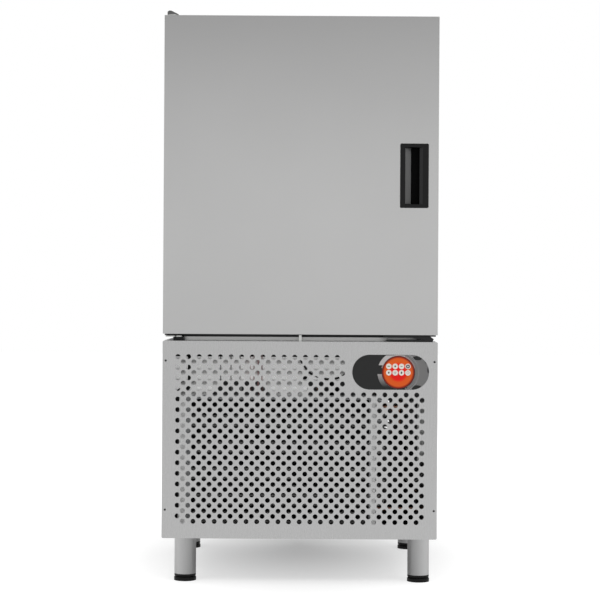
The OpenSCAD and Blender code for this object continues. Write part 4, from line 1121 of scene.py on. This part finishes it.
# %% Relay box and pressure lines
bm = bmesh.new()
for low, high, size in (((0.342, -0.3585, 0.352), (0.390, -0.3345, 0.524), 0.004),
                        ((0.3405, -0.362, 0.3505), (0.3915, -0.3575, 0.5255), 0.002)):
    soft_bar(bm, low, high, size, 3)
for z in (0.368, 0.508):
    rod(bm, (0.366, -0.3615, z), (0.366, -0.3635, z), 0.0035, 16, 0.0028)
settle("relay_box", bm, "box_grey")

bm = bmesh.new()
sweep(bm, smooth([(366, -350, 353), (364, -350, 330), (346, -346, 300), (322, -338, 290),
                  (306, -330, 306), (304, -320, 340), (312, -310, 372), (316, -300, 400),
                  (312, -296, 430), (306, -296, 470), (304, -296, 503)]), 1.6 * MM, 8)
sweep(bm, smooth([(374, -350, 353), (375, -348, 320), (370, -340, 280), (352, -330, 250),
                  (330, -316, 236), (322, -304, 222), (322, -297, 210)]), 1.6 * MM, 8)
settle("pressure_lines", bm, "pale_tube")


# %% [markdown]
# The shallow left side of the grip is glossy and mirrors the bright room. A thin grey strip laid
# on it paints that reflection: every corner is moved back by the slope's rise at its place.

# %% Grip slope, painted reflection
GRIP_IN, GRIP_SLOPE, GRIP_RISE = 0.014, 0.018, 0.011
STRIP_SHORT = 0.0122

grip_low, grip_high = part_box("door_handle")
strip_x = grip_low.x + GRIP_IN
face_y = front_y + 0.001
bm = bmesh.new()
verts = bar(bm, (strip_x + 0.0006, face_y - 0.0008, grip_low.z + STRIP_SHORT),
            (strip_x + GRIP_SLOPE - 0.0006, face_y - 0.0001, grip_high.z - STRIP_SHORT))
for vert in verts:
    vert.co.y += (vert.co.x - strip_x) * GRIP_RISE / GRIP_SLOPE
soft_edges(bm, edges_of(verts), 0.0002)
settle("grip_painted_reflection", bm, "handle_grey", body="door")


# %% [markdown]
# Between the cabinet and its plinth lies a black rubber seal, which keeps drips out of the
# machine. It widens the dark line under the door. A bar with bevelled edges is enough for it.

# %% Plinth seal
SEAL_H, SEAL_T = 0.0032, 0.002
plinth_low, plinth_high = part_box("plinth_frame")
bm = bmesh.new()
soft_bar(bm, (plinth_low.x + 0.002, plinth_low.y - SEAL_T, plinth_high.z - SEAL_H),
         (plinth_high.x - 0.002, plinth_low.y, plinth_high.z), 0.0005)
settle("plinth_seal", bm, "frame_black")


# %% [markdown]
# Each key carries a small generic sign in relief: a dot, a lozenge, a dash, a dark button, a
# triangle and a ring. They are thin rods with few sides, turned to face the front, and they
# ride on their key, so they go in with it when it is pressed.

# %% Key signs
SIGN_T = 0.00018


def flat_sign(bm, key, sides, r, turn=0.0, stretch=1.0):
    """A thin plate with so many sides in the dish of a key."""
    spot = middle(key)
    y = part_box(key)[0].y + 0.0005
    fit = Matrix.Translation((spot.x, y, spot.z)) @ Matrix.Rotation(math.radians(90), 4, "X") \
        @ Matrix.Diagonal((stretch, 1 / stretch, 1, 1)) \
        @ Matrix.Rotation(math.radians(turn), 4, "Z")
    bmesh.ops.create_cone(bm, cap_ends=True, segments=sides, radius1=r, radius2=r,
                          depth=2 * SIGN_T, matrix=fit)


def sign(key, finish, *plates):
    bm = bmesh.new()
    for plate in plates:
        flat_sign(bm, key, *plate)
    return settle(key + "_sign", bm, finish, body=key, flat=True)


def ring_sign(key, finish, r, thick, sides=24, turn=0.0):
    """An outlined sign: a thin circle spun to a ring, with as many corners as asked."""
    spot = middle(key)
    centre = Vector((spot.x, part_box(key)[0].y + 0.0005, spot.z))
    bm = bmesh.new()
    fit = Matrix.Translation(centre) @ Matrix.Rotation(math.radians(turn), 4, "Y") \
        @ Matrix.Translation((r, 0, 0))
    spun(bm, fit, 6, thick, centre, (0, 1, 0), sides)
    return settle(key + "_sign", bm, finish, body=key, flat=True)


sign("key_1", "key_green", (16, 0.0024, 0, 1.6))
sign("key_2", "key_grey", (4, 0.0030, 0))
sign("key_3", "key_grey", (4, 0.0020, 45, 2.0))
ring_sign("key_4", "key_navy", 0.0040, 0.0016)
sign("key_5", "key_grey", (16, 0.0025, 0, 0.85))
ring_sign("key_6", "key_grey", 0.0034, 0.0005, 3, 90)
sign("key_7", "key_grey", (16, 0.0026, 0, 0.8))
ring_sign("key_8", "key_rose", 0.0034, 0.0006)


# %% [markdown]
# The rear panel's slots are louvres: a press cuts each slot and pushes the metal above it out
# to a hood, so that air passes and nobody looks in. One hood is a quarter of a stretched ball,
# cut by two planes and thickened, then copied to every slot.

# %% Louvres
SLOT_BANKS, SLOT_ROWS = 4, 13
SLOT_W, SLOT_STEP, SLOT_FIRST = 0.130, 0.022, 0.084
HOOD_OUT, HOOD_RISE = 0.008, 0.0095
HOOD_SHEET = 0.0008

grille_low, grille_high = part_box("rear_grille")
slot_spots = [Vector(((i - (SLOT_BANKS - 1) / 2) * SLOT_W * 1.2, grille_high.y,
                      grille_low.z + SLOT_FIRST + j * SLOT_STEP - 0.0045))
              for i in range(SLOT_BANKS) for j in range(SLOT_ROWS)]
bm = bmesh.new()
fit = Matrix.Translation(slot_spots[0]) @ Matrix.Diagonal((SLOT_W / 2 + 0.002, HOOD_OUT,
                                                           HOOD_RISE, 1))
bmesh.ops.create_uvsphere(bm, u_segments=32, v_segments=16, radius=1, matrix=fit)
for normal in ((0, -1, 0), (0, 0, -1)):
    bmesh.ops.bisect_plane(bm, geom=bm.verts[:] + bm.edges[:] + bm.faces[:],
                           plane_co=slot_spots[0], plane_no=normal, clear_outer=True)
bmesh.ops.recalc_face_normals(bm, faces=bm.faces)
bmesh.ops.solidify(bm, geom=bm.faces[:], thickness=HOOD_SHEET)
hood = bm.verts[:] + bm.edges[:] + bm.faces[:]
for spot in slot_spots[1:]:
    copy = bmesh.ops.duplicate(bm, geom=hood)["geom"]
    bmesh.ops.translate(bm, vec=spot - slot_spots[0],
                        verts=[g for g in copy if isinstance(g, bmesh.types.BMVert)])
settle("rear_louvres", bm, "galvanised")


# %% [markdown]
# Sheet panels are held by pan-head screws and rivets. A head is a low cone on a thin washer; a
# drive would not show at this size and costs faces. They sit where a fitter reaches them, along
# the edges of the rear grille and of the back panel.

# %% Screws
def screw(bm, at, direction, r):
    """Washer and pan head on a surface; direction points away from it."""
    at, direction = Vector(at), Vector(direction)
    washer, shoulder, top = (at + direction * r * share for share in (0.16, 0.5, 0.72))
    rod(bm, at, washer, r * 1.35, 20)
    rod(bm, washer, shoulder, r, 20, r * 0.92)
    rod(bm, shoulder, top, r * 0.92, 20, r * 0.55)


def edge_fixings(name, low, high, columns, shares, insets, r):
    """Heads along the lower and upper edges of a rear panel and up both its sides."""
    bm = bmesh.new()
    for x in columns:
        for z in (low.z + insets[0], high.z - insets[1]):
            screw(bm, (x, high.y, z), (0, 1, 0), r)
    for x in (columns[0], columns[-1]):
        for share in shares:
            screw(bm, (x, high.y, low.z + (high.z - low.z) * share), (0, 1, 0), r)
    settle(name, bm, "zinc_plate")


back_low, back_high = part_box("cabinet_back_panel")
edge_fixings("rear_grille_screws", grille_low, grille_high, (-0.375, -0.125, 0.125, 0.375),
             (0.25, 0.5, 0.75), (0.014, 0.013), 0.0042)
edge_fixings("back_panel_rivets", back_low, back_high, (-0.380, -0.190, 0.0, 0.190, 0.380),
             (0.2, 0.4, 0.6, 0.8), (0.015, 0.015), 0.0030)
